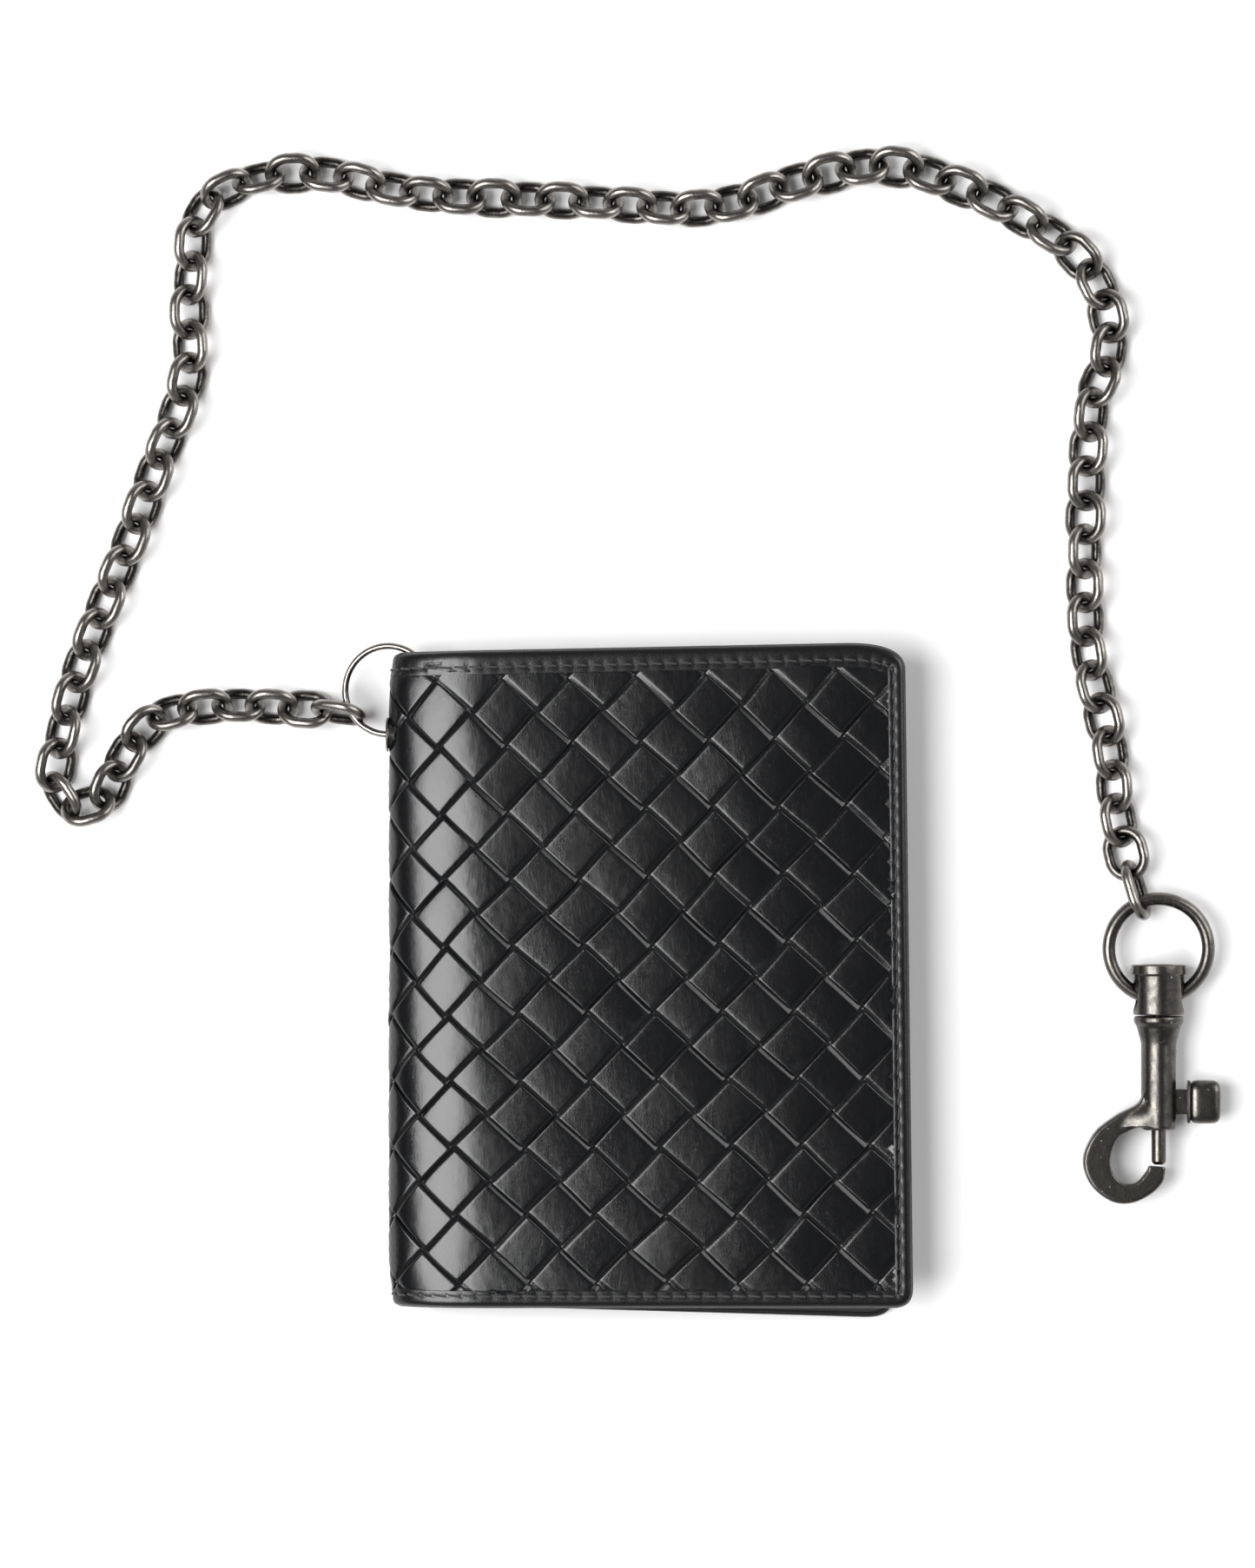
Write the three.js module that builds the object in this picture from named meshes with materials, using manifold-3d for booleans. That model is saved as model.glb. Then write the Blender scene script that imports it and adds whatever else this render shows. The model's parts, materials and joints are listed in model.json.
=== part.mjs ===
// Chain wallet: a closed bifold wallet of woven leather, with a cable chain from a ring in its
// spine to a swivel bolt snap. Millimetres, +Z up, lying flat with the front cover on top.
// The origin is the centre of the wallet's flat underside, and +Y runs up the spine.

import * as THREE from 'three';
import { mergeVertices } from 'three/addons/utils/BufferGeometryUtils.js';
import Module from 'manifold-3d';

const wasm = await Module();
wasm.setup();

// ---- Driving dimensions ----

const WALLET_WIDTH = 96.4;
const WALLET_HEIGHT = 120; // at the spine
const WALLET_THICKNESS = 15.6;
const CORNER_RADIUS = 4;
const COVER_LEAN = 1.5; // the covers are this much narrower at the top
const BACK_SHORTER = 3.5; // the back cover ends this far inside the front one
const BACK_DROP = 2.8; // and its free edge lies this much lower
const FRONT_RISE = 2; // the front cover's top edge rises this much towards its free edge

// Layers of one half, from the outside in.
const SHELL = 1.9;
const STIFFENER = 0.5;
const LINING = 0.4;
const BILL_ROOM = 0.3;
const DIVIDER = 0.4;
const POCKET = 0.5;
const CARD_ROOM = 0.8;
const LAYER_GAP = 0.1;

const BINDING_WIDTH = 2.4;
const STIFFENER_INSET = 4;
const LINING_INSET = 0.8;
const DIVIDER_INSET = 1.5;
const SLOT_INSET = 0.8;
const DIVIDER_START = 11; // the divider leaves room for the ring this far from the spine's outside
const SLOT_START = 4.7; // and the card slots reach this close to it, to hold a card's length
const SLOT_TOP_GAP = 22; // from the wallet's top to the tallest card slot
const SLOT_STEP = 14; // each card slot is this much lower than the one behind it
const SLOT_DEPTH = 56;

// The cover turns about a line on the outside of the spine, this far round from its top.
const HINGE_TURN = THREE.MathUtils.degToRad(45);
const HINGE_GAP = 0.3;

const EYELET_BELOW_TOP = 14.9;
const EYELET_HOLE = 2.05;
const EYELET_BARREL = 2.5;
const EYELET_FLANGE = 3.2;
const EYELET_SHEET = 0.35;

const RING_RADIUS = 8.2; // of the wire's centre line
const RING_WIRE = 1.2;
const RING_TILT = THREE.MathUtils.degToRad(12);
const CHAIN_ON_RING = THREE.MathUtils.degToRad(212); // where on the ring the chain hangs

const LINK_COUNT = 75;
const LINKS_PER_PIECE = 3;
const LINK_WIRE = 1.95;
const LINK_WIDTH = 8.8;
const LINK_ROLL = THREE.MathUtils.degToRad(45);
const FIRST_ROLL = THREE.MathUtils.degToRad(70); // the end links stand up to take their rings
const LAST_ROLLS = [-25, 70].map(THREE.MathUtils.degToRad);
const WIRE_SIDES = 5;
const LINK_STEPS = 10;
const PLAY = 0.3; // half the clearance between links of two pieces
const RING_PLAY = 0.6;
const TOUCH = 0.06; // links of one piece press this deep into each other
const CHAIN_Z = 3.5; // a link lying on its edge

// The clasp, with heights along Y and radii about its long axis.
const CLASP_X = 94;
const CLASP_Z = 5.05;
const KEY_RING = { radius: 9.2, wire: 2.4, centreY: 5.6 };
const KEY_RING_TILT = THREE.MathUtils.degToRad(1.5);
const CHAIN_ON_KEY_RING = THREE.MathUtils.degToRad(112);
const BARREL = {
  top: 2.6, bottom: -6.6, radius: 4.7, rimRadius: 5.05, rimHeight: 1.7, floor: 1.1, bore: 3.3,
};
const CROSS_HOLE = { radius: 2.35, y: -2.8 };
const POST = { radius: 1.3, headRadius: 2.3, headHeight: 0.5, headBevel: 0.4, end: -10.5 };
const BODY = { top: -6.95, neckRadius: 4.6, neckBottom: -10.7, radius: 3.25, bottom: -27.8 };
const NECK = { lip: 0.9, lipBevel: 0.7, lipDrop: 0.4, flare: 0.35, fillet: 1 };
const BOLT = { radius: 1.35, tip: -34.3, tipBevel: 0.5, top: -20, travel: 5.5 };
const BORE_TOP = -12.3;
const RUNNING_GAP = 0.1;
const HOOK_THICKNESS = 3.6;
const STEM = { near: 1.45, root: 0.5, top: -20.4, bottom: -25, thickness: 1.4, clearance: 0.3 };
const KNOB = {
  near: 5.3, far: 11.4, top: -18.7, bottom: -26.7, thickness: 5, bevel: 0.8,
  nearCorner: 1.4, farCorner: 2.4,
};
const SPRING = { wire: 0.4, radius: 1.0, turns: 6, gap: 0.2 };

const HALF_WIDTH = WALLET_WIDTH / 2;
const HALF_HEIGHT = WALLET_HEIGHT / 2;
const SPINE_RADIUS = WALLET_THICKNESS / 2;
const SPINE_X = -HALF_WIDTH + SPINE_RADIUS; // centre of the spine's round
const SPINE_Z = SPINE_RADIUS;
const EYELET = new THREE.Vector3(-HALF_WIDTH, HALF_HEIGHT - EYELET_BELOW_TOP, SPINE_Z);

// ---- Materials ----

const finish = (color, roughness, metalness) =>
  new THREE.MeshStandardMaterial({ color, roughness, metalness });
const wovenLeather = finish(0x1b1d21, 0.42, 0);
const smoothLeather = finish(0x1e2023, 0.5, 0);
const liningLeather = finish(0x232326, 0.65, 0);
const board = finish(0x6e665c, 0.9, 0);
const polishedSteel = finish(0xc9cacb, 0.2, 1);
const agedMetal = finish(0x6a6660, 0.35, 1);
const springSteel = finish(0x8d8f92, 0.35, 1);

// ---- Helpers ----

/** The solid that a closed geometry bounds. */
function solid(geometry) {
  const bare = geometry.index ? geometry.toNonIndexed() : geometry.clone();
  bare.deleteAttribute('normal');
  bare.deleteAttribute('uv');
  const merged = mergeVertices(bare, 1e-4);
  return new wasm.Manifold(new wasm.Mesh({
    numProp: 3,
    vertProperties: new Float32Array(merged.attributes.position.array),
    triVerts: new Uint32Array(merged.index.array),
  }));
}

/** The geometry of a solid. */
function shapeOf(manifold) {
  const mesh = manifold.getMesh();
  const geometry = new THREE.BufferGeometry();
  geometry.setAttribute('position', new THREE.BufferAttribute(new Float32Array(mesh.vertProperties), 3));
  geometry.setIndex(new THREE.BufferAttribute(new Uint32Array(mesh.triVerts), 1));
  geometry.computeVertexNormals();
  return geometry;
}

/** A named piece of the wallet. */
function piece(name, geometry, material) {
  const mesh = new THREE.Mesh(geometry, material);
  mesh.name = name;
  return mesh;
}

/** A flat outline through corner points, each rounded by its own radius. */
function roundedOutline(corners) {
  const outline = new THREE.Shape();
  const count = corners.length;
  corners.forEach(([x, y, radius], i) => {
    const corner = new THREE.Vector2(x, y);
    const [before, after] = [corners[(i + count - 1) % count], corners[(i + 1) % count]]
      .map(([px, py]) => new THREE.Vector2(px, py).sub(corner).setLength(radius).add(corner));
    if (i === 0) outline.moveTo(before.x, before.y);
    else outline.lineTo(before.x, before.y);
    if (radius > 0) outline.quadraticCurveTo(x, y, after.x, after.y);
  });
  outline.closePath();
  return outline;
}

/** A sheet of even thickness with its underside at height z. */
function sheet(outline, z, thickness) {
  const geometry = new THREE.ExtrudeGeometry(outline, {
    depth: thickness,
    bevelEnabled: false,
    curveSegments: 4,
  });
  geometry.translate(0, 0, z);
  return geometry;
}

/** A cylinder along X, Y or Z, centred on a point. */
function rod(axis, radius, length, centre, sides = 16) {
  const geometry = new THREE.CylinderGeometry(radius, radius, length, sides);
  if (axis === 'x') geometry.rotateZ(Math.PI / 2);
  if (axis === 'z') geometry.rotateX(Math.PI / 2);
  geometry.translate(...centre);
  return geometry;
}

/** A turned part on the clasp's long axis, from [radius, y] points. */
function turned(points, sides = 20) {
  const profile = points.map(([radius, y]) => new THREE.Vector2(radius, y));
  const geometry = new THREE.LatheGeometry(profile, sides);
  geometry.translate(CLASP_X, 0, CLASP_Z);
  return geometry;
}

// ---- Wallet ----

/** A cover's outline seen from above, inset all round, from a given X to its free edge.
 *  side is -1 for the back half and +1 for the front half. */
function coverOutline(side, inset, startX) {
  const right = HALF_WIDTH - inset - (side < 0 ? BACK_SHORTER : 0);
  const drop = side < 0 ? BACK_DROP : 0;
  const rise = side < 0 ? -BACK_DROP : FRONT_RISE;
  const radius = Math.max(CORNER_RADIUS - inset, 0.5);
  const half = HALF_HEIGHT - inset;
  return roundedOutline([
    [startX, -half, 0],
    [right, -half - drop, radius],
    [right - COVER_LEAN, half + rise, radius],
    [startX, half, 0],
  ]);
}

/** One layer that is flat over a cover and runs on round the spine to the hinge line. */
function wrappedLayer(side, depth, thickness, inset) {
  const outer = SPINE_RADIUS - depth;
  const inner = outer - thickness;
  const gapTurn = HINGE_GAP / 2 / SPINE_RADIUS;
  const start = side * Math.PI / 2;
  const hinge = Math.PI / 2 + HINGE_TURN;
  const end = side > 0 ? hinge - gapTurn : hinge + gapTurn - 2 * Math.PI;
  const section = new THREE.Shape();
  section.moveTo(HALF_WIDTH + 1, SPINE_Z + side * inner);
  section.lineTo(HALF_WIDTH + 1, SPINE_Z + side * outer);
  section.absarc(SPINE_X, SPINE_Z, outer, start, end, side < 0);
  section.absarc(SPINE_X, SPINE_Z, inner, end, start, side > 0);
  section.closePath();
  const bar = new THREE.ExtrudeGeometry(section, {
    depth: WALLET_HEIGHT + 2 * BACK_DROP + 2,
    bevelEnabled: false,
    curveSegments: side < 0 ? 9 : 3,
  });
  bar.rotateX(Math.PI / 2);
  bar.translate(0, HALF_HEIGHT + BACK_DROP + 1, 0);
  const trim = sheet(coverOutline(side, inset, -HALF_WIDTH - 1), -1, WALLET_THICKNESS + 2);
  return solid(bar).intersect(solid(trim));
}

/** The smooth strip round the edges of a cover, as thick as the woven shell it frames. */
function edgeBinding(side) {
  const window = sheet(coverOutline(side, BINDING_WIDTH, -HALF_WIDTH - 2), -1, WALLET_THICKNESS + 2);
  return wrappedLayer(side, 0, SHELL, 0).subtract(solid(window));
}

/** A layer of the back half with a hole round the eyelet. */
function pierced(layer, radius) {
  return layer.subtract(solid(rod('x', radius + RUNNING_GAP, SPINE_RADIUS, EYELET.toArray())));
}

/** One of the three card slots, a pocket leaf with its free edge at the top. */
function cardSlot(side, row) {
  const top = HALF_HEIGHT - SLOT_TOP_GAP - row * SLOT_STEP;
  const bottom = Math.max(top - SLOT_DEPTH, -HALF_HEIGHT + DIVIDER_INSET);
  const left = -HALF_WIDTH + SLOT_START;
  const right = HALF_WIDTH - SLOT_INSET - COVER_LEAN - (side < 0 ? BACK_SHORTER : 0);
  return roundedOutline([[left, bottom, 1], [right, bottom, 1], [right, top, 2], [left, top, 2]]);
}

/** One half of the wallet, its layers stacked from the outside in. */
function walletHalf(label, side) {
  const half = new THREE.Group();
  const put = (name, geometry, material) => half.add(piece(`${name}_${label}`, geometry, material));
  const level = (depth, thickness) => (side < 0 ? depth : WALLET_THICKNESS - depth - thickness);
  const finished = (layer, hole) => shapeOf(side < 0 ? pierced(layer, hole) : layer);
  const shell = wrappedLayer(side, 0, SHELL, BINDING_WIDTH + LAYER_GAP);
  put('woven_shell', finished(shell, EYELET_BARREL), wovenLeather);
  put('edge_binding', shapeOf(edgeBinding(side)), smoothLeather);

  let depth = SHELL + LAYER_GAP;
  const boardOutline = coverOutline(side, STIFFENER_INSET, SPINE_X + 2);
  put('stiffener', sheet(boardOutline, level(depth, STIFFENER), STIFFENER), board);
  depth += STIFFENER + LAYER_GAP;
  const lining = wrappedLayer(side, depth, LINING, LINING_INSET);
  put('lining', finished(lining, EYELET_FLANGE), liningLeather);
  depth += LINING + BILL_ROOM;
  const dividerOutline = coverOutline(side, DIVIDER_INSET, -HALF_WIDTH + DIVIDER_START);
  put('bill_divider', sheet(dividerOutline, level(depth, DIVIDER), DIVIDER), smoothLeather);
  depth += DIVIDER + CARD_ROOM;
  for (const row of [0, 1, 2]) {
    const leaf = sheet(cardSlot(side, row), level(depth, POCKET), POCKET);
    put(`card_slot_${row + 1}`, leaf, smoothLeather);
    depth += POCKET + CARD_ROOM;
  }
  return half;
}

/** The steel eyelet in the spine: a barrel with a flange on each side of the woven shell. */
function spineEyelet() {
  const outside = -EYELET_SHEET - LAYER_GAP;
  const shellInner = SPINE_RADIUS - SHELL;
  const shellBend = shellInner - Math.sqrt(shellInner ** 2 - EYELET_FLANGE ** 2);
  const inside = SHELL + shellBend + LAYER_GAP;
  const profile = [
    [EYELET_HOLE, outside],
    [EYELET_FLANGE, outside],
    [EYELET_FLANGE, outside + EYELET_SHEET],
    [EYELET_BARREL, outside + EYELET_SHEET],
    [EYELET_BARREL, inside],
    [EYELET_FLANGE, inside],
    [EYELET_FLANGE, inside + EYELET_SHEET],
    [EYELET_HOLE, inside + EYELET_SHEET],
    [EYELET_HOLE, outside],
  ].map(([radius, along]) => new THREE.Vector2(radius, along));
  const geometry = new THREE.LatheGeometry(profile, 18);
  geometry.rotateZ(-Math.PI / 2);
  const mesh = piece('spine_eyelet', geometry, polishedSteel);
  mesh.position.copy(EYELET);
  return mesh;
}

/** A point on the centre line of the spine ring's wire. */
function onSpineRing(angle) {
  const point = new THREE.Vector3(Math.cos(angle), Math.sin(angle), 0).multiplyScalar(RING_RADIUS);
  point.applyAxisAngle(new THREE.Vector3(0, 1, 0), -RING_TILT);
  return point.add(new THREE.Vector3(EYELET.x, EYELET.y + RING_RADIUS, EYELET.z));
}

/** The thin steel ring through the eyelet and round the top of the spine. */
function spineRing() {
  const geometry = new THREE.TorusGeometry(RING_RADIUS, RING_WIRE / 2, 6, 30);
  const mesh = piece('spine_ring', geometry, polishedSteel);
  mesh.position.set(EYELET.x, EYELET.y + RING_RADIUS, EYELET.z);
  mesh.rotation.y = -RING_TILT;
  return mesh;
}

// ---- Chain ----

/** The chain's line as it lies: left from the spine ring, up, across above the wallet and down
 *  the right side to the key ring. */
function chainCurve() {
  const laid = [
    [-67, 51], [-80, 49.5], [-88, 50], [-95, 45], [-97.5, 37], [-103, 31.5], [-109, 33], [-109.5, 40],
    [-105, 58], [-96, 81], [-89, 101], [-85, 112], [-85, 129], [-82, 143], [-73, 148], [-54, 148],
    [-45, 145.5], [-17, 144], [13, 143], [35, 149.5], [48, 149.5], [66, 142.5], [80, 132.5], [85, 122],
    [82, 108], [80.5, 80], [81, 62], [85, 43], [86, 33], [88.2, 23],
  ].map(([x, y]) => new THREE.Vector3(x, y, CHAIN_Z));
  const first = onSpineRing(CHAIN_ON_RING);
  const second = new THREE.Vector3(-61, 48.5, CHAIN_Z + 1.3); // still rising to the ring
  const last = onKeyRing(CHAIN_ON_KEY_RING);
  return new THREE.CatmullRomCurve3([first, second, ...laid, last], false, 'centripetal');
}

/** One oval link from pivot a to pivot b, whose ends reach past the pivots by pastA and pastB. */
function link(a, b, roll, pastA, pastB) {
  const along = b.clone().sub(a);
  const chord = along.length();
  along.normalize();
  const bend = (LINK_WIDTH - LINK_WIRE) / 2;
  const straight = chord + pastA + pastB - 2 * bend;
  const geometry = new THREE.TorusGeometry(bend, LINK_WIRE / 2, WIRE_SIDES, LINK_STEPS);
  const points = geometry.attributes.position;
  for (let i = 0; i < points.count; i += 1) {
    points.setX(i, points.getX(i) + Math.sign(points.getX(i)) * straight / 2);
  }
  const across = new THREE.Vector3(0, 0, 1).cross(along).normalize();
  const up = along.clone().cross(across);
  const normal = up.multiplyScalar(Math.cos(roll)).addScaledVector(across, Math.sin(roll));
  const place = new THREE.Matrix4().makeBasis(along, normal.clone().cross(along), normal);
  place.setPosition(a.clone().add(b).multiplyScalar(0.5).addScaledVector(along, (pastB - pastA) / 2));
  return geometry.applyMatrix4(place);
}

/** The roll of each link: neighbours lie crossed, and the end ones turn to take their rings. */
function rollOf(index) {
  if (index === 0) return FIRST_ROLL;
  const fromEnd = LINK_COUNT - index;
  if (fromEnd <= LAST_ROLLS.length) return LAST_ROLLS[LAST_ROLLS.length - fromEnd];
  return index % 2 ? -LINK_ROLL : LINK_ROLL;
}

/** The chain as short runs of interlocked links. */
function chain() {
  const group = new THREE.Group();
  const pivots = chainCurve().getSpacedPoints(LINK_COUNT);
  const flat = LINK_WIRE / 2 * Math.cos(Math.PI / WIRE_SIDES);
  const joined = flat - TOUCH;
  const free = LINK_WIRE / 2 + PLAY;
  const roundSpineRing = (LINK_WIRE + RING_WIRE) / 2 + RING_PLAY;
  const roundKeyRing = (LINK_WIRE + KEY_RING.wire) / 2 + RING_PLAY;
  const past = (pivot) => {
    if (pivot === 0) return roundSpineRing;
    if (pivot === LINK_COUNT) return roundKeyRing;
    return pivot % LINKS_PER_PIECE ? joined : free;
  };
  for (let first = 0; first < LINK_COUNT; first += LINKS_PER_PIECE) {
    let run = null;
    for (let i = first; i < first + LINKS_PER_PIECE; i += 1) {
      const one = solid(link(pivots[i], pivots[i + 1], rollOf(i), past(i), past(i + 1)));
      run = run ? run.add(one) : one;
    }
    const number = String(first / LINKS_PER_PIECE + 1).padStart(2, '0');
    group.add(piece(`chain_links_${number}`, shapeOf(run), agedMetal));
  }
  return group;
}

// ---- Clasp ----

/** The lowest point of the key ring's wire, inside the swivel barrel. */
function keyRingFoot() {
  return new THREE.Vector3(CLASP_X, KEY_RING.centreY - KEY_RING.radius, CLASP_Z);
}

/** A point on the centre line of the key ring's wire. */
function onKeyRing(angle) {
  const point = new THREE.Vector3(Math.cos(angle), Math.sin(angle) + 1, 0).multiplyScalar(KEY_RING.radius);
  return point.applyAxisAngle(new THREE.Vector3(1, 0, 0), -KEY_RING_TILT).add(keyRingFoot());
}

/** The key ring that joins the chain to the swivel. */
function keyRing() {
  const geometry = new THREE.TorusGeometry(KEY_RING.radius, KEY_RING.wire / 2, 8, 30);
  geometry.translate(0, KEY_RING.radius, 0);
  const mesh = piece('key_ring', geometry, agedMetal);
  mesh.position.copy(keyRingFoot());
  mesh.rotation.x = -KEY_RING_TILT;
  return mesh;
}

/** The swivel barrel: an open cup with a rim, a cross hole for the key ring and a floor that the
 *  post's head holds. */
function swivelBarrel() {
  const floorTop = BARREL.bottom + BARREL.floor;
  const rimBottom = BARREL.top - BARREL.rimHeight;
  const cup = turned([
    [POST.radius + RUNNING_GAP, BARREL.bottom],
    [BARREL.radius, BARREL.bottom],
    [BARREL.radius, rimBottom],
    [BARREL.rimRadius, rimBottom],
    [BARREL.rimRadius, BARREL.top],
    [BARREL.bore, BARREL.top],
    [BARREL.bore, floorTop],
    [POST.radius + RUNNING_GAP, floorTop],
    [POST.radius + RUNNING_GAP, BARREL.bottom],
  ]);
  const hole = rod('x', CROSS_HOLE.radius, 3 * BARREL.radius, [CLASP_X, CROSS_HOLE.y, CLASP_Z], 20);
  return piece('swivel_barrel', shapeOf(solid(cup).subtract(solid(hole))), agedMetal);
}

/** The post that holds the barrel: a peened head inside the cup and a shank in the body. */
function swivelPost() {
  const headBottom = BARREL.bottom + BARREL.floor + RUNNING_GAP / 2;
  const profile = [
    [0, POST.end],
    [POST.radius, POST.end],
    [POST.radius, headBottom],
    [POST.headRadius, headBottom],
    [POST.headRadius - POST.headBevel, headBottom + POST.headHeight],
    [0, headBottom + POST.headHeight],
  ];
  return piece('swivel_post', turned(profile, 16), agedMetal);
}

/** The cast body: a turned neck and tube that runs into a flat-faced hook. */
function hookBody() {
  const tube = turned([
    [0, BODY.bottom],
    [BODY.radius, BODY.bottom],
    [BODY.radius, BODY.neckBottom - NECK.fillet],
    [BODY.radius + NECK.flare, BODY.neckBottom],
    [BODY.neckRadius - NECK.lipDrop, BODY.top - NECK.lip - NECK.lipBevel],
    [BODY.neckRadius, BODY.top - NECK.lip],
    [BODY.neckRadius, BODY.top],
    [0, BODY.top],
  ], 24);
  const hook = sheet(hookOutline(), CLASP_Z - HOOK_THICKNESS / 2, HOOK_THICKNESS);
  const boreRadius = BOLT.radius + RUNNING_GAP;
  const boreLength = BORE_TOP - BODY.bottom + 1;
  const boreMiddle = (BORE_TOP + BODY.bottom - 1) / 2;
  const bore = rod('y', boreRadius, boreLength, [CLASP_X, boreMiddle, CLASP_Z]);
  const socketLength = BODY.top - POST.end + 1;
  const socketMiddle = (BODY.top + POST.end + 1 - RUNNING_GAP) / 2;
  const socket = rod('y', POST.radius + RUNNING_GAP, socketLength, [CLASP_X, socketMiddle, CLASP_Z]);
  const slotTop = STEM.top + BOLT.travel + STEM.clearance;
  const slotBottom = STEM.bottom - STEM.clearance;
  const slotWidth = STEM.thickness + 2 * STEM.clearance;
  const slot = new THREE.BoxGeometry(BODY.radius * 2, slotTop - slotBottom, slotWidth);
  slot.translate(CLASP_X + BODY.radius, (slotTop + slotBottom) / 2, CLASP_Z);
  let body = solid(tube).add(solid(hook));
  for (const cut of [bore, socket, slot]) body = body.subtract(solid(cut));
  return piece('hook_body', shapeOf(body), agedMetal);
}

/** The hook's outline: a C that leaves the tube to the left and comes round under the bolt. */
function hookOutline() {
  const at = ([x, y]) => new THREE.Vector2(CLASP_X + x, y);
  const outer = [
    [-2.9, -21.5], [-4.2, -23.2], [-8, -25.2], [-12, -28.5], [-14, -33.4], [-12.6, -38], [-9, -41],
    [-5.2, -41.4], [-1.6, -39.8], [0.6, -37.4], [0.9, -35.3],
  ].map(at);
  const inner = [
    [-1.9, -34.7], [-2.2, -35.6], [-4.2, -37.6], [-6.6, -37.7], [-8.5, -35.8], [-8.9, -32.8],
    [-7.6, -29.4], [-5, -27.8],
  ].map(at);
  const outline = new THREE.Shape();
  outline.moveTo(CLASP_X, outer[0].y);
  outline.lineTo(outer[0].x, outer[0].y);
  outline.splineThru(outer.slice(1));
  outline.lineTo(inner[0].x, inner[0].y);
  outline.splineThru(inner.slice(1));
  outline.lineTo(CLASP_X, BODY.bottom);
  outline.closePath();
  return outline;
}

/** The spring bolt that closes the hook. */
function bolt() {
  const profile = [
    [0, BOLT.tip],
    [BOLT.radius - BOLT.tipBevel, BOLT.tip],
    [BOLT.radius, BOLT.tip + BOLT.tipBevel],
    [BOLT.radius, BOLT.top],
    [0, BOLT.top],
  ];
  return piece('spring_bolt', turned(profile, 16), agedMetal);
}

/** The thumb knob: a pillow-shaped pad on a flat stem that stands out of the body's slot. */
function thumbKnob() {
  const stemEnd = KNOB.near + STEM.root;
  const stem = new THREE.BoxGeometry(stemEnd - STEM.near, STEM.top - STEM.bottom, STEM.thickness);
  stem.translate(CLASP_X + (stemEnd + STEM.near) / 2, (STEM.top + STEM.bottom) / 2, CLASP_Z);
  const outline = roundedOutline([
    [CLASP_X + KNOB.near, KNOB.bottom, KNOB.nearCorner],
    [CLASP_X + KNOB.far, KNOB.bottom, KNOB.farCorner],
    [CLASP_X + KNOB.far, KNOB.top, KNOB.farCorner],
    [CLASP_X + KNOB.near, KNOB.top, KNOB.nearCorner],
  ]);
  const pad = new THREE.ExtrudeGeometry(outline, {
    depth: KNOB.thickness - 2 * KNOB.bevel,
    bevelThickness: KNOB.bevel,
    bevelSize: KNOB.bevel,
    bevelOffset: -KNOB.bevel,
    bevelSegments: 2,
    curveSegments: 3,
  });
  pad.translate(0, 0, CLASP_Z - KNOB.thickness / 2 + KNOB.bevel);
  return piece('thumb_knob', shapeOf(solid(stem).add(solid(pad))), agedMetal);
}

/** The coil spring behind the bolt. */
function boltSpring() {
  const bottom = BOLT.top + SPRING.wire / 2 + SPRING.gap;
  const top = BORE_TOP - SPRING.wire / 2 - SPRING.gap;
  class Coil extends THREE.Curve {
    getPoint(t, target = new THREE.Vector3()) {
      const turn = t * SPRING.turns * 2 * Math.PI;
      return target.set(
        CLASP_X + SPRING.radius * Math.cos(turn),
        THREE.MathUtils.lerp(bottom, top, t),
        CLASP_Z + SPRING.radius * Math.sin(turn),
      );
    }
  }
  const wire = new THREE.Shape().absarc(0, 0, SPRING.wire / 2, 0, 2 * Math.PI);
  const geometry = new THREE.ExtrudeGeometry(wire, {
    extrudePath: new Coil(), steps: SPRING.turns * 9, curveSegments: 2, bevelEnabled: false,
  });
  return piece('bolt_spring', geometry, springSteel);
}

const wallet = new THREE.Group();
wallet.add(
  walletHalf('back', -1),
  walletHalf('front', 1),
  spineEyelet(),
  spineRing(),
  chain(),
  keyRing(),
  swivelBarrel(),
  swivelPost(),
  hookBody(),
  bolt(),
  thumbKnob(),
  boltSpring(),
);

export default wallet;
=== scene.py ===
import json
import math

import bmesh
import bpy
import numpy as np
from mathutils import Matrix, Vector
from mathutils.geometry import convex_hull_2d


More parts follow.
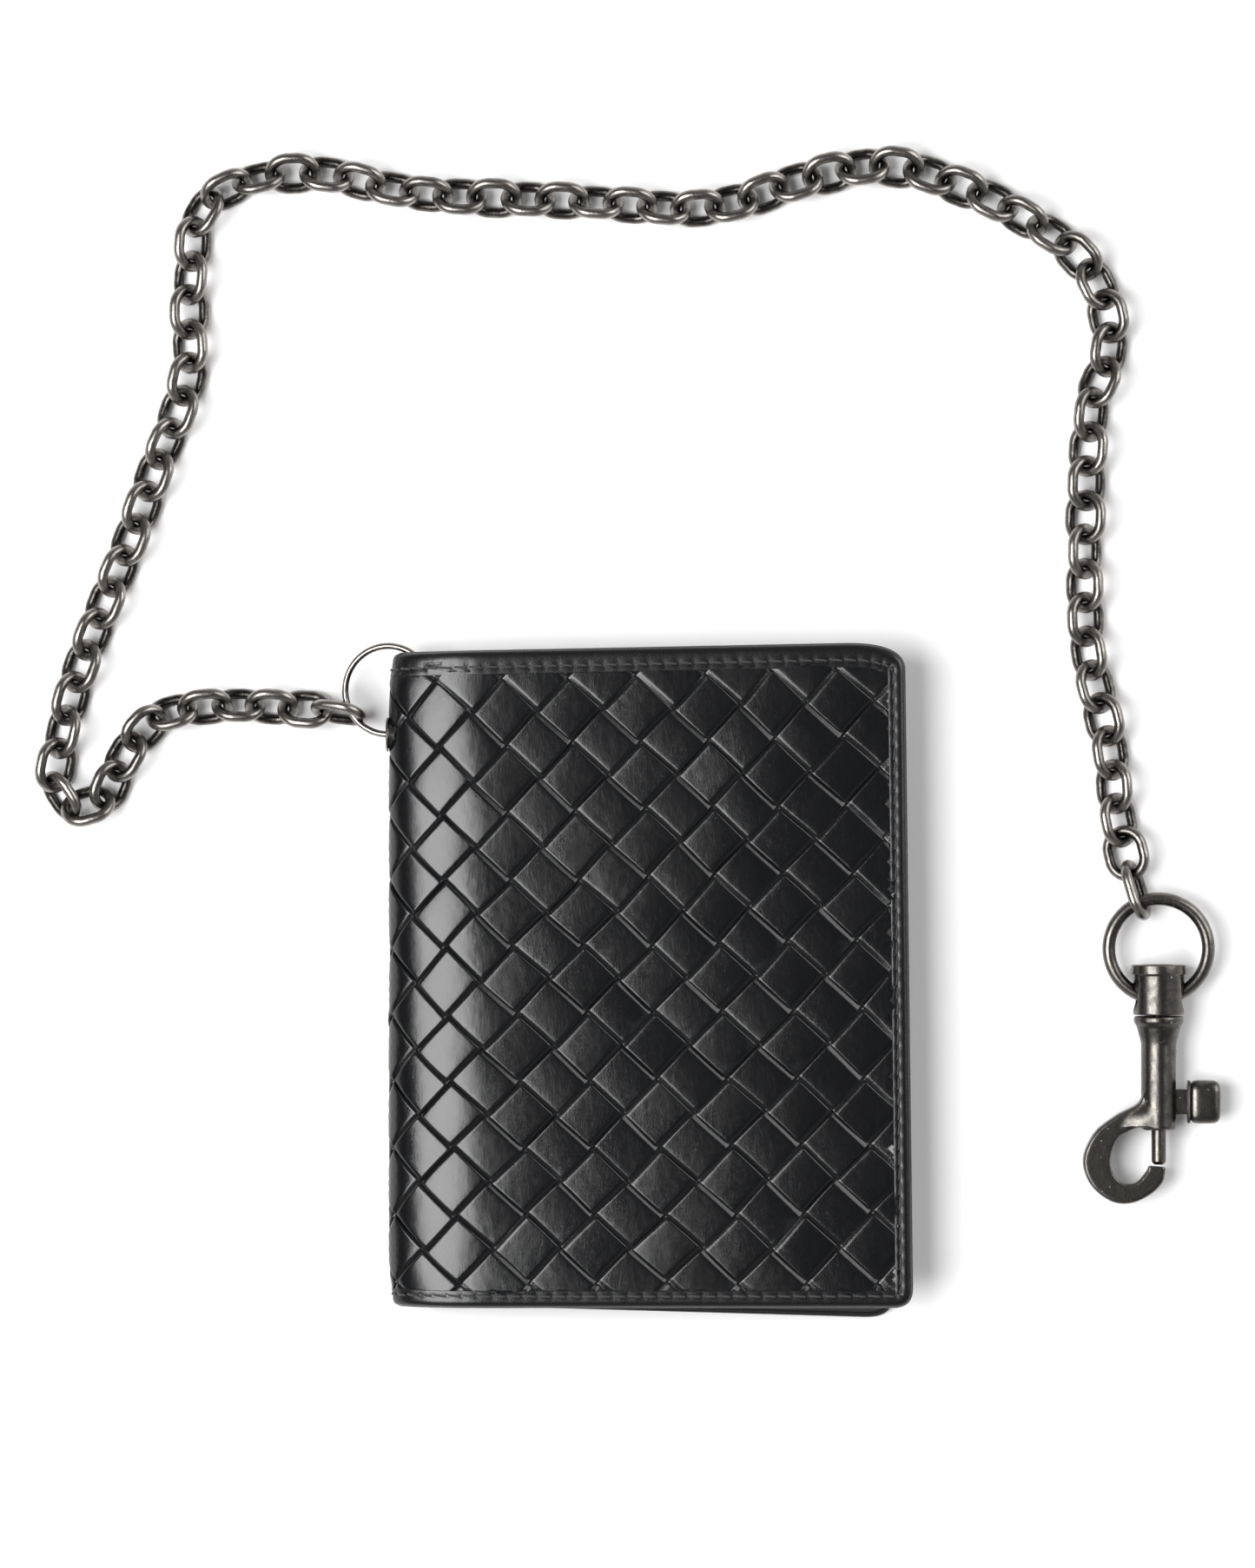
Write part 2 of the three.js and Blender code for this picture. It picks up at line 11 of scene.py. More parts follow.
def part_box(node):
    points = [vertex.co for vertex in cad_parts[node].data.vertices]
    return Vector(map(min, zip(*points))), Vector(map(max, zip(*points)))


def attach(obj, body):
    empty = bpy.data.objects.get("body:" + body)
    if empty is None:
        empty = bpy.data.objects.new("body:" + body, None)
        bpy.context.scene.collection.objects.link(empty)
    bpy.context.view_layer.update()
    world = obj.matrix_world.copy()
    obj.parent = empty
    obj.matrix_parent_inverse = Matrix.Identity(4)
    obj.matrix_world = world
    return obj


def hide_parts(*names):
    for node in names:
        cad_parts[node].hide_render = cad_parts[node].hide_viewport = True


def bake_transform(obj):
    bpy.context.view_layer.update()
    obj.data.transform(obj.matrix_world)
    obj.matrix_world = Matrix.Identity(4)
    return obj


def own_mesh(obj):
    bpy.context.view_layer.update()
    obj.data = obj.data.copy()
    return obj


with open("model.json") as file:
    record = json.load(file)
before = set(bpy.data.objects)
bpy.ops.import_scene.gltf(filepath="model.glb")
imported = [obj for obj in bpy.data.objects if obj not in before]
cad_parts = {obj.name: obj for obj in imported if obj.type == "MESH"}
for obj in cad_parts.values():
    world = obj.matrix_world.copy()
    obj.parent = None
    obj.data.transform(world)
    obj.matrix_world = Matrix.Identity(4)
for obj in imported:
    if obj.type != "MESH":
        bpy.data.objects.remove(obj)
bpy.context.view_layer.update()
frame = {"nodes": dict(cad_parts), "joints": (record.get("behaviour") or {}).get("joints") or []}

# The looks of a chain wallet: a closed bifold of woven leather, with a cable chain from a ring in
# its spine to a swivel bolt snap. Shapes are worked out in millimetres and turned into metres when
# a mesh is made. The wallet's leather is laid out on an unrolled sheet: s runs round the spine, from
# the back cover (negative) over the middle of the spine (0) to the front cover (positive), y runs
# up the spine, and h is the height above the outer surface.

MM = 0.001
MERGE_DISTANCE = 2e-7  # in metres, between points that count as one
chance = np.random.default_rng(7)


# ---- Mesh helpers ----

def box_mm(node):
    """The lowest and highest corners of a CAD node, in millimetres."""
    low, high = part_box(node)
    return np.array(low) / MM, np.array(high) / MM


def joint_named(name):
    """A joint of the frame."""
    return next(joint for joint in frame["joints"] if joint["name"] == name)


def joint_mm(name):
    """A joint's position, in millimetres."""
    return np.array(joint_named(name)["pos_m"]) / MM


def smoothstep(value):
    """0 below 0, 1 above 1 and smooth between."""
    t = np.clip(value, 0, 1)
    return t * t * (3 - 2 * t)


def grid_faces(rows, columns, wrap_rows=False, wrap_columns=False):
    """The quads of a grid of points, stored row by row."""
    faces = []
    for r in range(rows if wrap_rows else rows - 1):
        for c in range(columns if wrap_columns else columns - 1):
            next_r = (r + 1) % rows
            next_c = (c + 1) % columns
            faces.append((
                r * columns + c,
                next_r * columns + c,
                next_r * columns + next_c,
                r * columns + next_c,
            ))
    return faces


class Shape:
    """Points in millimetres and faces, gathered from several closed bodies."""

    def __init__(self):
        self.points = []
        self.faces = []
        self.slots = []
        self.wear_and_painted_light = []

    def add(self, points, faces, slot=0, wear_and_painted_light=None):
        """Adds one body, with its material's place in the list given to build(), and how worn each of
        its points is. On the aged metals this value also paints a highlight on the outer side of a
        wire and shade on its inner side."""
        start = len(self.points)
        self.points.extend(np.asarray(points, float).tolist())
        self.faces.extend([tuple(i + start for i in face) for face in faces])
        self.slots.extend([slot] * len(faces))
        self.wear_and_painted_light.extend([0.5] * len(points) if wear_and_painted_light is None else list(wear_and_painted_light))
        return self

    def build(self, name, *materials):
        """Makes the Blender object."""
        mesh = bpy.data.meshes.new(name)
        mesh.from_pydata((np.array(self.points) * MM).tolist(), [], self.faces)
        for material in materials:
            mesh.materials.append(material)
        mesh.polygons.foreach_set("material_index", self.slots)
        mesh.attributes.new("wear_and_painted_light", "FLOAT", "POINT").data.foreach_set("value", self.wear_and_painted_light)
        clean = bmesh.new()
        clean.from_mesh(mesh)
        bmesh.ops.remove_doubles(clean, verts=clean.verts, dist=MERGE_DISTANCE)
        bmesh.ops.dissolve_degenerate(clean, dist=MERGE_DISTANCE, edges=clean.edges)
        bmesh.ops.recalc_face_normals(clean, faces=clean.faces)
        clean.to_mesh(mesh)
        clean.free()
        mesh.shade_smooth()
        obj = bpy.data.objects.new(name, mesh)
        bpy.context.scene.collection.objects.link(obj)
        return obj


def grid_rim(rows, columns):
    """The points round the outside of a grid, in order."""
    rim = [r * columns for r in range(rows)]
    rim += [(rows - 1) * columns + c for c in range(1, columns)]
    rim += [r * columns + columns - 1 for r in range(rows - 2, -1, -1)]
    return rim + list(range(columns - 2, 0, -1))


def sheet_body(outer, inner, rows, columns):
    """A closed sheet between two grids of the same size."""
    points = np.concatenate([outer, inner])
    half = rows * columns
    faces = grid_faces(rows, columns)
    faces += [tuple(i + half for i in reversed(face)) for face in faces]
    rim = grid_rim(rows, columns)
    for a, b in zip(rim, rim[1:] + rim[:1]):
        faces.append((b, a, a + half, b + half))
    return points, faces


def swept(path, section, closed=False):
    """A tube whose cross-section, a list of (across, up) points, follows a path of points."""
    path = np.asarray(path, float)
    ahead = np.roll(path, -1, 0) - np.roll(path, 1, 0)
    if not closed:
        ahead[0] = path[1] - path[0]
        ahead[-1] = path[-1] - path[-2]
    ahead /= np.linalg.norm(ahead, axis=1)[:, None]
    side = np.cross(ahead[0], (0, 0, 1) if abs(ahead[0][2]) < 0.9 else (1, 0, 0))
    points = []
    for place, along in zip(path, ahead):
        side = side - along * side.dot(along)
        side /= np.linalg.norm(side)
        up = np.cross(side, along)
        points.extend(place + side * across + up * rise for across, rise in section)
    rows, columns = len(path), len(section)
    faces = grid_faces(rows, columns, wrap_rows=closed, wrap_columns=True)
    if not closed:
        faces += end_caps(rows, columns)
    return np.array(points), faces


def circle(radius, sides):
    """A round cross-section."""
    turns = np.arange(sides) * 2 * math.pi / sides
    return [(radius * math.cos(t), radius * math.sin(t)) for t in turns]


def unit(vector):
    """A vector of length 1."""
    return vector / np.linalg.norm(vector)


def rounding(start, corner, end, steps):
    """The points of a curve that rounds a corner off."""
    return [(1 - t) ** 2 * start + 2 * t * (1 - t) * corner + t ** 2 * end
            for t in np.linspace(0, 1, steps)]


def end_caps(rows, columns):
    """The two flat faces that close a tube, stored row by row."""
    return [tuple(range(columns)), tuple(range((rows - 1) * columns, rows * columns))]


def eased(corners, radius, steps=5):
    """A line through corner points with its inner corners rounded off."""
    corners = [np.array(corner, float) for corner in corners]
    line = [corners[0]]
    for before, corner, after in zip(corners, corners[1:], corners[2:]):
        reach = min(radius, *(0.45 * np.linalg.norm(other - corner) for other in (before, after)))
        start = corner + unit(before - corner) * reach
        end = corner + unit(after - corner) * reach
        line += rounding(start, corner, end, steps)
    return line + [corners[-1]]


def evenly(points, step):
    """Evenly spaced points round a closed line."""
    dense = np.array(list(points) + [points[0]], float)
    lengths = np.concatenate([[0], np.cumsum(np.linalg.norm(np.diff(dense, axis=0), axis=1))])
    samples = np.linspace(0, lengths[-1], int(round(lengths[-1] / step)), endpoint=False)
    return np.stack([np.interp(samples, lengths, dense[:, axis]) for axis in (0, 1)], 1)


def through(points, steps=8):
    """A smooth curve through points, as a dense line."""
    points = [np.array(point, float) for point in points]
    points = [2 * points[0] - points[1]] + points + [2 * points[-1] - points[-2]]
    line = []
    for a, b, c, d in zip(points, points[1:], points[2:], points[3:]):
        for t in np.arange(steps) / steps:
            line.append(0.5 * (2 * b + (c - a) * t + (2 * a - 5 * b + 4 * c - d) * t ** 2
                               + (3 * b - a - 3 * c + d) * t ** 3))
    return line + [points[-2]]


def inward(loop):
    """The inward direction at each point of a loop that runs anticlockwise."""
    ahead = np.roll(loop, -1, 0) - np.roll(loop, 1, 0)
    ahead /= np.linalg.norm(ahead, axis=1)[:, None]
    return np.stack([-ahead[:, 1], ahead[:, 0]], 1)


def turned(profile, centre, sides=56, closed=False):
    """A body turned about a line along Y, from (radius, y) points that start and end on the line,
    or that go round a closed section."""
    points = []
    for turn in np.arange(sides) * 2 * math.pi / sides:
        for radius, y in profile:
            points.append((centre[0] + radius * math.cos(turn), centre[1] + y,
                           centre[2] + radius * math.sin(turn)))
    return points, grid_faces(sides, len(profile), wrap_rows=True, wrap_columns=closed)


def slab(outline, edge):
    """A flat plate. edge lists (inset, z) from its lower face to its upper one, where an inset may
    be one number or one for each point of the outline."""
    toward = inward(outline)
    rings = []
    for inset, z in edge:
        place = outline + toward * np.broadcast_to(inset, len(outline))[:, None]
        rings.append(np.column_stack([place, np.full(len(outline), z)]))
    rows, count = len(edge), len(outline)
    faces = grid_faces(rows, count, wrap_columns=True) + end_caps(rows, count)
    return np.concatenate(rings), faces


def bar(low, high):
    """A plain block between two corners, for cutting."""
    corners = [(x, y, z) for x in (low[0], high[0]) for y in (low[1], high[1])
               for z in (low[2], high[2])]
    faces = [(0, 1, 3, 2), (4, 6, 7, 5), (0, 4, 5, 1), (2, 3, 7, 6), (0, 2, 6, 4), (1, 5, 7, 3)]
    return corners, faces


def rod(start, end, radius, sides=48):
    """A round bar between two points."""
    return swept([start, end], circle(radius, sides))


def settle(obj):
    """Applies an object's modifiers."""
    graph = bpy.context.evaluated_depsgraph_get()
    made = bpy.data.meshes.new_from_object(obj.evaluated_get(graph))
    obj.modifiers.clear()
    obj.data = made
    made.shade_smooth()
    if "wear_and_painted_light" not in made.attributes:
        even = np.full(len(made.vertices), 0.5)
        made.attributes.new("wear_and_painted_light", "FLOAT", "POINT").data.foreach_set("value", even)
    return obj


def cut(obj, *tools):
    """Cuts closed bodies out of a closed object."""
    cutters = [Shape().add(*tool).build("cutter") for tool in tools]
    for cutter in cutters:
        modifier = obj.modifiers.new("cut", "BOOLEAN")
        modifier.operation = "DIFFERENCE"
        modifier.solver = "EXACT"
        modifier.object = cutter
    settle(obj)
    for cutter in cutters:
        bpy.data.objects.remove(cutter)
    return obj


def cast(obj, voxel, rounds):
    """Runs the bodies of an object together and rounds its edges a little, as in a casting."""
    remesh = obj.modifiers.new("cast", "REMESH")
    remesh.mode = "VOXEL"
    remesh.voxel_size = voxel * MM
    smooth = obj.modifiers.new("smooth", "SMOOTH")
    smooth.iterations = rounds
    return settle(obj)


# ---- Material helpers ----

class Nodes:
    """A material's node graph, written as short calls."""

    def __init__(self, name):
        self.material = bpy.data.materials.new(name)
        self.material.use_nodes = True
        self.tree = self.material.node_tree
        self.shader = self.tree.nodes["Principled BSDF"]

    def link(self, value, socket):
        """Feeds a socket from another socket or a plain value."""
        if isinstance(value, bpy.types.NodeSocket):
            self.tree.links.new(value, socket)
        else:
            socket.default_value = value

    def node(self, kind, inputs, output=0, **settings):
        """Adds a node, sets it up and returns one of its outputs."""
        made = self.tree.nodes.new(kind)
        for key, value in settings.items():
            setattr(made, key, value)
        for key, value in inputs.items():
            self.link(value, made.inputs[key])
        return made.outputs[output]

    def place(self, scale=(1, 1, 1), turn=0.0):
        """Object coordinates in millimetres, stretched and turned."""
        place = self.node("ShaderNodeTexCoord", {}, "Object")
        return self.node("ShaderNodeMapping", {
            "Vector": place,
            "Rotation": (0, 0, turn),
            "Scale": tuple(value / MM for value in scale),
        })

    def noise(self, scale, detail=3.0, roughness=0.55, where=None):
        """Soft noise with features of about 1 / scale millimetres."""
        return self.node("ShaderNodeTexNoise", {
            "Vector": where or self.place(),
            "Scale": scale,
            "Detail": detail,
            "Roughness": roughness,
        }, "Fac")

    def pores(self, scale):
        """The lines between small cells, as in leather grain."""
        return self.node("ShaderNodeTexVoronoi", {
            "Vector": self.place(),
            "Scale": scale,
        }, "Distance", feature="DISTANCE_TO_EDGE")

    def ramp(self, value, low, high, start=0.0, end=1.0):
        """Maps a value from low..high onto start..end, held at both ends."""
        return self.node("ShaderNodeMapRange", {
            "Value": value,
            "From Min": low,
            "From Max": high,
            "To Min": start,
            "To Max": end,
        }, clamp=True)

    def math(self, operation, a, b=0.0):
        """One sum or product."""
        return self.node("ShaderNodeMath", {0: a, 1: b}, operation=operation)

    def blend(self, amount, a, b):
        """Mixes two colours."""
        mixer = self.tree.nodes.new("ShaderNodeMix")
        mixer.data_type = "RGBA"
        self.link(amount, mixer.inputs[0])
        self.link(a, mixer.inputs[6])
        self.link(b, mixer.inputs[7])
        return mixer.outputs[2]

    def edges(self, low, high):
        """0 in hollows and on flats, 1 on sharp edges."""
        pointed = self.node("ShaderNodeNewGeometry", {}, "Pointiness")
        return self.ramp(pointed, low, high)

    def bump(self, height, strength, distance, below=None):
        """A bump whose depth is given in millimetres, stacked on another one."""
        inputs = {"Height": height, "Strength": strength, "Distance": distance * MM}
        if below is not None:
            inputs["Normal"] = below
        return self.node("ShaderNodeBump", inputs)

    def finish(self, color, roughness, normal=None, metallic=0.0, **extra):
        """Sets the shader's inputs and returns the material."""
        self.link(color, self.shader.inputs["Base Color"])
        self.link(roughness, self.shader.inputs["Roughness"])
        self.link(metallic, self.shader.inputs["Metallic"])
        if normal is not None:
            self.link(normal, self.shader.inputs["Normal"])
        for key, value in extra.items():
            self.link(value, self.shader.inputs[key.replace("_", " ")])
        return self.material


def rgb(red, green, blue):
    """A colour with full alpha."""
    return (red, green, blue, 1.0)


def darker(color, share):
    """A colour with its brightness brought down to a share."""
    return rgb(*(share * part for part in color[:3]))


# ---- Materials ----

def nappa(name, base, worn, roughness, grain):
    """Smooth dyed leather: shallow hollows, a fine grain, soft creases and worn raised edges."""
    n = Nodes(name)
    clouds = n.noise(0.07, detail=4)
    hollows = n.noise(0.32, detail=1)
    pores = n.pores(2.6)
    creases = n.noise(0.9, detail=6, roughness=0.65, where=n.place((1, 0.35, 1), turn=0.5))
    fine = n.noise(5.0, detail=4, roughness=0.6)
    tone = n.blend(n.ramp(clouds, 0.35, 0.7), base, darker(base, 0.72))
    tone = n.blend(n.edges(0.52, 0.62), tone, worn)
    gloss = n.math("ADD", n.ramp(clouds, 0.3, 0.7, roughness - 0.02, roughness + 0.03),
                   n.ramp(fine, 0.35, 0.7, -0.02, 0.04))
    strength = 0.6 * grain
    skin = n.bump(hollows, strength, 0.09)
    skin = n.bump(n.ramp(pores, 0.0, 0.16), strength, 0.008, skin)
    skin = n.bump(fine, strength, 0.014, skin)
    skin = n.bump(creases, strength, 0.045, skin)
    return n.finish(tone, gloss, skin, Specular_IOR_Level=0.5)


def thread_material():
    """Waxed thread, twisted."""
    n = Nodes("thread")
    twist = n.node("ShaderNodeTexWave", {
        "Vector": n.place((1, 1, 1), turn=0.8),
        "Scale": 1.6,
        "Distortion": 1.5,
    }, "Fac")
    tone = n.blend(twist, rgb(0.012, 0.012, 0.014), rgb(0.035, 0.035, 0.038))
    return n.finish(tone, 0.45, n.bump(twist, 0.6, 0.05), Sheen_Weight=0.2)


def fibre_board():
    """Pressed fibre board with short flecks."""
    n = Nodes("fibre_board")
    flecks = n.noise(1.4, detail=6, roughness=0.7, where=n.place((1, 0.3, 1), turn=0.3))
    tone = n.blend(flecks, rgb(0.16, 0.14, 0.115), rgb(0.27, 0.245, 0.205))
    return n.finish(tone, n.ramp(flecks, 0.3, 0.7, 0.8, 0.95), n.bump(flecks, 0.5, 0.08))


def aged_metal(name, dark, light, roughness, pits):
    """Antiqued metal: dark in its hollows, rubbed bright where it is worn, scratched and pitted. The
    per-point value that it reads also paints a highlight on the outer side of each wire and shade on
    its inner side.
    """
    n = Nodes(name)
    # The per-point value: wear, and also a painted highlight on the outer side of a wire and painted
    # shade on its inner side.
    worn = n.node("ShaderNodeAttribute", {}, "Fac", attribute_name="wear_and_painted_light")
    clouds = n.noise(0.55, detail=5, roughness=0.6)
    fine = n.noise(7.0, detail=4, roughness=0.65)
    scratches = n.noise(2.2, detail=5, roughness=0.75, where=n.place((1, 0.16, 1), turn=0.7))
    # Rubbing, scratches and patina, with that painted highlight and shade mixed in.
    rubbed_and_painted_light = n.math("ADD", worn, n.ramp(clouds, 0.3, 0.7, -0.25, 0.25))
    rubbed_and_painted_light = n.math("ADD", rubbed_and_painted_light, n.ramp(n.edges(0.5, 0.58), 0, 1, -0.1, 0.35))
    rubbed_and_painted_light = n.math("ADD", rubbed_and_painted_light, n.ramp(scratches, 0.58, 0.68, 0.0, 0.3))
    dents = n.noise(1.5, detail=6, roughness=0.7, where=n.place((1, 0.55, 1), turn=-0.5))
    spots = n.math("MULTIPLY", n.ramp(dents, 0.655, 0.69), n.ramp(clouds, 0.45, 0.55, 0.0, pits))
    tone = n.blend(n.ramp(rubbed_and_painted_light, 0.1, 1.0), dark, light)
    tone = n.blend(spots, tone, rgb(0.72, 0.7, 0.66))
    gloss = n.math("ADD", n.ramp(clouds, 0.3, 0.7, roughness + 0.06, roughness - 0.05),
                   n.ramp(fine, 0.35, 0.7, -0.05, 0.08))
    skin = n.bump(fine, 0.35, 0.02)
    skin = n.bump(clouds, 0.35, 0.16, skin)
    skin = n.bump(spots, 0.5 * pits, 0.1, skin)
    return n.finish(tone, gloss, skin, metallic=1.0)


def bright_metal(name, tint, roughness):
    """Polished metal with faint wipe marks."""
    n = Nodes(name)
    smears = n.noise(0.8, detail=4, where=n.place((1, 1, 0.4), turn=0.4))
    tone = n.blend(n.ramp(smears, 0.3, 0.7), tint, darker(tint, 0.86))
    gloss = n.ramp(smears, 0.3, 0.7, roughness, roughness + 0.1)
    return n.finish(tone, gloss, n.bump(n.noise(6.0), 0.15, 0.01), metallic=1.0)


# Each leather's colour, its colour where it is worn, its roughness and how strong its grain is.
woven_leather = nappa("woven_leather", rgb(0.0045, 0.0048, 0.0056),
                      rgb(0.0105, 0.011, 0.0125), 0.19, 1.0)
border_leather = nappa("border_leather", rgb(0.0048, 0.005, 0.0057),
                       rgb(0.011, 0.0115, 0.0125), 0.26, 0.8)
leaf_leather = nappa("leaf_leather", rgb(0.011, 0.011, 0.0125), rgb(0.03, 0.03, 0.032), 0.42, 0.8)
lining_leather = nappa("lining_leather", rgb(0.018, 0.018, 0.02), rgb(0.04, 0.04, 0.042), 0.58, 1.2)
# Edge paint in a lighter grey than the leather, which also paints a highlight along the rolled edge.
edge_paint_and_highlight = nappa("edge_paint_and_highlight", rgb(0.03, 0.031, 0.034), rgb(0.08, 0.08, 0.085), 0.34, 0.3)
thread = thread_material()
board = fibre_board()
# Each metal's colour in its hollows and in the painted shade on the inner side of a wire, its colour
# where it is rubbed and in the painted highlight on the outer side, its roughness and its pits.
chain_metal = aged_metal("chain_metal", rgb(0.032, 0.03, 0.028), rgb(0.29, 0.272, 0.25), 0.29, 0.3)
clasp_metal = aged_metal("clasp_metal", rgb(0.042, 0.039, 0.036),
                         rgb(0.19, 0.178, 0.163), 0.3, 1.0)
ring_steel = aged_metal("ring_steel", rgb(0.07, 0.064, 0.058), rgb(0.33, 0.31, 0.285), 0.2, 0.0)
spring_steel = bright_metal("spring_steel", rgb(0.5, 0.5, 0.51), 0.3)


# ---- The wallet's form ----

binding_back = box_mm("edge_binding_back")
binding_front = box_mm("edge_binding_front")
LEFT = binding_back[0][0]
THICKNESS = binding_front[1][2]
MIDDLE = THICKNESS / 2
HALF_HEIGHT = binding_back[1][1]
FRONT_RIGHT = binding_front[1][0]
BACK_RIGHT = binding_back[1][0]
FRONT_RISE = binding_front[1][1] - HALF_HEIGHT
BACK_DROP = -HALF_HEIGHT - binding_back[0][1]
COVER_LEAN = 1.5  # the covers are this much narrower at the top

SPINE_DEPTH = 18.0  # the covers round off towards the spine over this width
SPINE_POWER = 2.0  # an ellipse, and more would be squarer
EDGE_PRESS = 0.07  # the sewn free edges are this share thinner
PRESS_FROM_X = 20  # the pressing sets in from here to the right-hand edge
PRESS_FROM_Y = 42  # and from here to the top and bottom edges
END_PRESS = 0.6  # the top and bottom edges are pressed this share as much
END_TUCK = 0.9  # the spine draws in this much at its two ends
TUCK_FROM_Y = 50
TUCK_LENGTH = 10
TUCK_WIDTH = 16  # to each side of the spine's middle

turns = np.linspace(0, math.pi / 2, 1500)
profile_x = SPINE_DEPTH * (1 - np.cos(turns) ** (2 / SPINE_POWER))
profile_z = MIDDLE * np.sin(turns) ** (2 / SPINE_POWER)
steps = np.hypot(np.diff(profile_x), np.diff(profile_z))
profile_s = np.concatenate([[0], np.cumsum(steps)])
SPINE_ARC = profile_s[-1]


def x_at(s):
    """The distance from the spine's outside, at an unrolled distance from its middle."""
    s = np.abs(s)
    return np.interp(s, profile_s, profile_x) + np.maximum(s - SPINE_ARC, 0)


def s_at(x):
    """The unrolled distance at a place on a cover, given as an X of the frame."""
    return np.interp(x - LEFT, profile_x, profile_s) + max(x - LEFT - SPINE_DEPTH, 0)


def pressed(x, y, z):
    """Draws the layers together towards the sewn edges."""
    right = smoothstep((x - PRESS_FROM_X) / (FRONT_RIGHT - PRESS_FROM_X))
    ends = END_PRESS * smoothstep((np.abs(y) - PRESS_FROM_Y) / (HALF_HEIGHT - PRESS_FROM_Y))
    return MIDDLE + (z - MIDDLE) * (1 - EDGE_PRESS * (1 - (1 - right) * (1 - ends)))


TACK_X = -39.7  # a short tack is sewn through the border here
TACK_Y = HALF_HEIGHT - 1.9
TACK_LENGTH = 3.3
TACK_STITCHES = 9
TACK_SWELL = 0.22  # the leather swells this much above and below the tack
TACK_SWELL_AT = (0.85, 0.55)  # how far from the tack the swell is, and how wide
TACK_SLIT = 0.5  # and it sinks this much under the thread
TACK_SLIT_WIDTH = 0.28


def tack_pucker(s, y):
    """How the leather puckers round the tack at the top of the spine, on both covers."""
    across = (np.abs(s) - s_at(TACK_X)) / (TACK_LENGTH / 2)
    up = y - TACK_Y
    near = np.exp(-across ** 4)
    swell = TACK_SWELL * np.exp(-((np.abs(up) - TACK_SWELL_AT[0]) / TACK_SWELL_AT[1]) ** 2)
    uneven = 1 + 0.5 * np.sin(5 * across + up)
    return near * (swell * uneven - TACK_SLIT * np.exp(-(up / TACK_SLIT_WIDTH) ** 2))


def on_sheet(s, y, h):
    """Points of the unrolled sheet, wrapped round the wallet."""
    s, y, h = np.broadcast_arrays(np.asarray(s, float), y, h)
    step = 0.05
    x = x_at(s)
    z = np.interp(np.abs(s), profile_s, profile_z)
    before, after = np.maximum(np.abs(s) - step, 0), np.abs(s) + step
    run = x_at(after) - x_at(before)
    climb = np.interp(after, profile_s, profile_z) - np.interp(before, profile_s, profile_z)
    length = np.hypot(run, climb)
    tuck = END_TUCK * smoothstep((np.abs(y) - TUCK_FROM_Y) / TUCK_LENGTH) ** 2
    h = h - tuck * (1 - smoothstep(np.abs(s) / TUCK_WIDTH)) + tack_pucker(s, y)
    x = x - h * climb / length
    z = z + h * run / length
    side = np.where(s < 0, -1.0, 1.0)
    x = x + LEFT
    z = MIDDLE + side * z
    return np.stack([x, y, pressed(x, y, z)], -1).reshape(-1, 3)


def rounded_loop(corners, step):
    """Evenly spaced points round a closed outline. A corner is (s, y, before, after): how far from
    it, along each side, its rounding starts."""
    dense = []
    count = len(corners)
    for k, (s, y, before, after) in enumerate(corners):
        corner = np.array([s, y], float)
        last = np.array(corners[k - 1][:2], float) - corner
        following = np.array(corners[(k + 1) % count][:2], float) - corner
        start = corner + last / np.linalg.norm(last) * before
        end = corner + following / np.linalg.norm(following) * after
        dense += rounding(start, corner, end, 24)
    return evenly(dense, step)


STITCH_PITCH = 2.75
STITCH_INSET = 2.1
POINTS_PER_STITCH = 6
TOP_WIDENING = 1.4  # the border is this much wider along the top

front_s = s_at(FRONT_RIGHT)
back_s = s_at(BACK_RIGHT)
sheet_loop = rounded_loop([
    (0, -HALF_HEIGHT, 8, 8),
    (front_s, -HALF_HEIGHT, 3.5, 3.5),
    (front_s - COVER_LEAN, HALF_HEIGHT + FRONT_RISE, 5, 11),
    (0, HALF_HEIGHT, 8, 8),
    (-(back_s - COVER_LEAN), HALF_HEIGHT - BACK_DROP, 4, 4),
    (-back_s, -HALF_HEIGHT - BACK_DROP, 3, 5),
], STITCH_PITCH / POINTS_PER_STITCH)
sheet_inward = inward(sheet_loop)
# The border's inward direction, as long as the border is wide at that point.
sheet_across = sheet_inward * (1 + (TOP_WIDENING - 1)
                               * smoothstep((-sheet_inward[:, 1:] - 0.3) / 0.6))


def to_edge(s, y):
    """How far inside the sheet's outline points lie, in widths of the border, and the nearest
    outline point and its inward direction."""
    loop = sheet_loop[::3]
    directions = sheet_across[::3]
    points = np.stack([s, y], 1)
    nearest = np.concatenate([
        np.argmin(((some[:, None, :] - loop[None]) ** 2).sum(2), 1)
        for some in np.array_split(points, max(1, len(points) // 4000))
    ])
    inside = ((points - loop[nearest]) * directions[nearest]).sum(1)
    inside = inside / (directions[nearest] ** 2).sum(1)
    return inside, loop[nearest], directions[nearest]


# ---- Woven shell ----

DIAMOND_WIDTH = 12.32
DIAMOND_HEIGHT = 12.26
FIRST_COLUMN = s_at(-39.4)  # the top corner of the first cell under the border
FIRST_ROW = 54.9
COLUMN_LEAN = (0.48, 0.056)  # per row, and more of it per column
ROW_RISE = (0.416, -0.042)  # per column, and less of it per row
LEAN_COLUMNS = (-2, 8)  # the lean and rise grow over these columns only
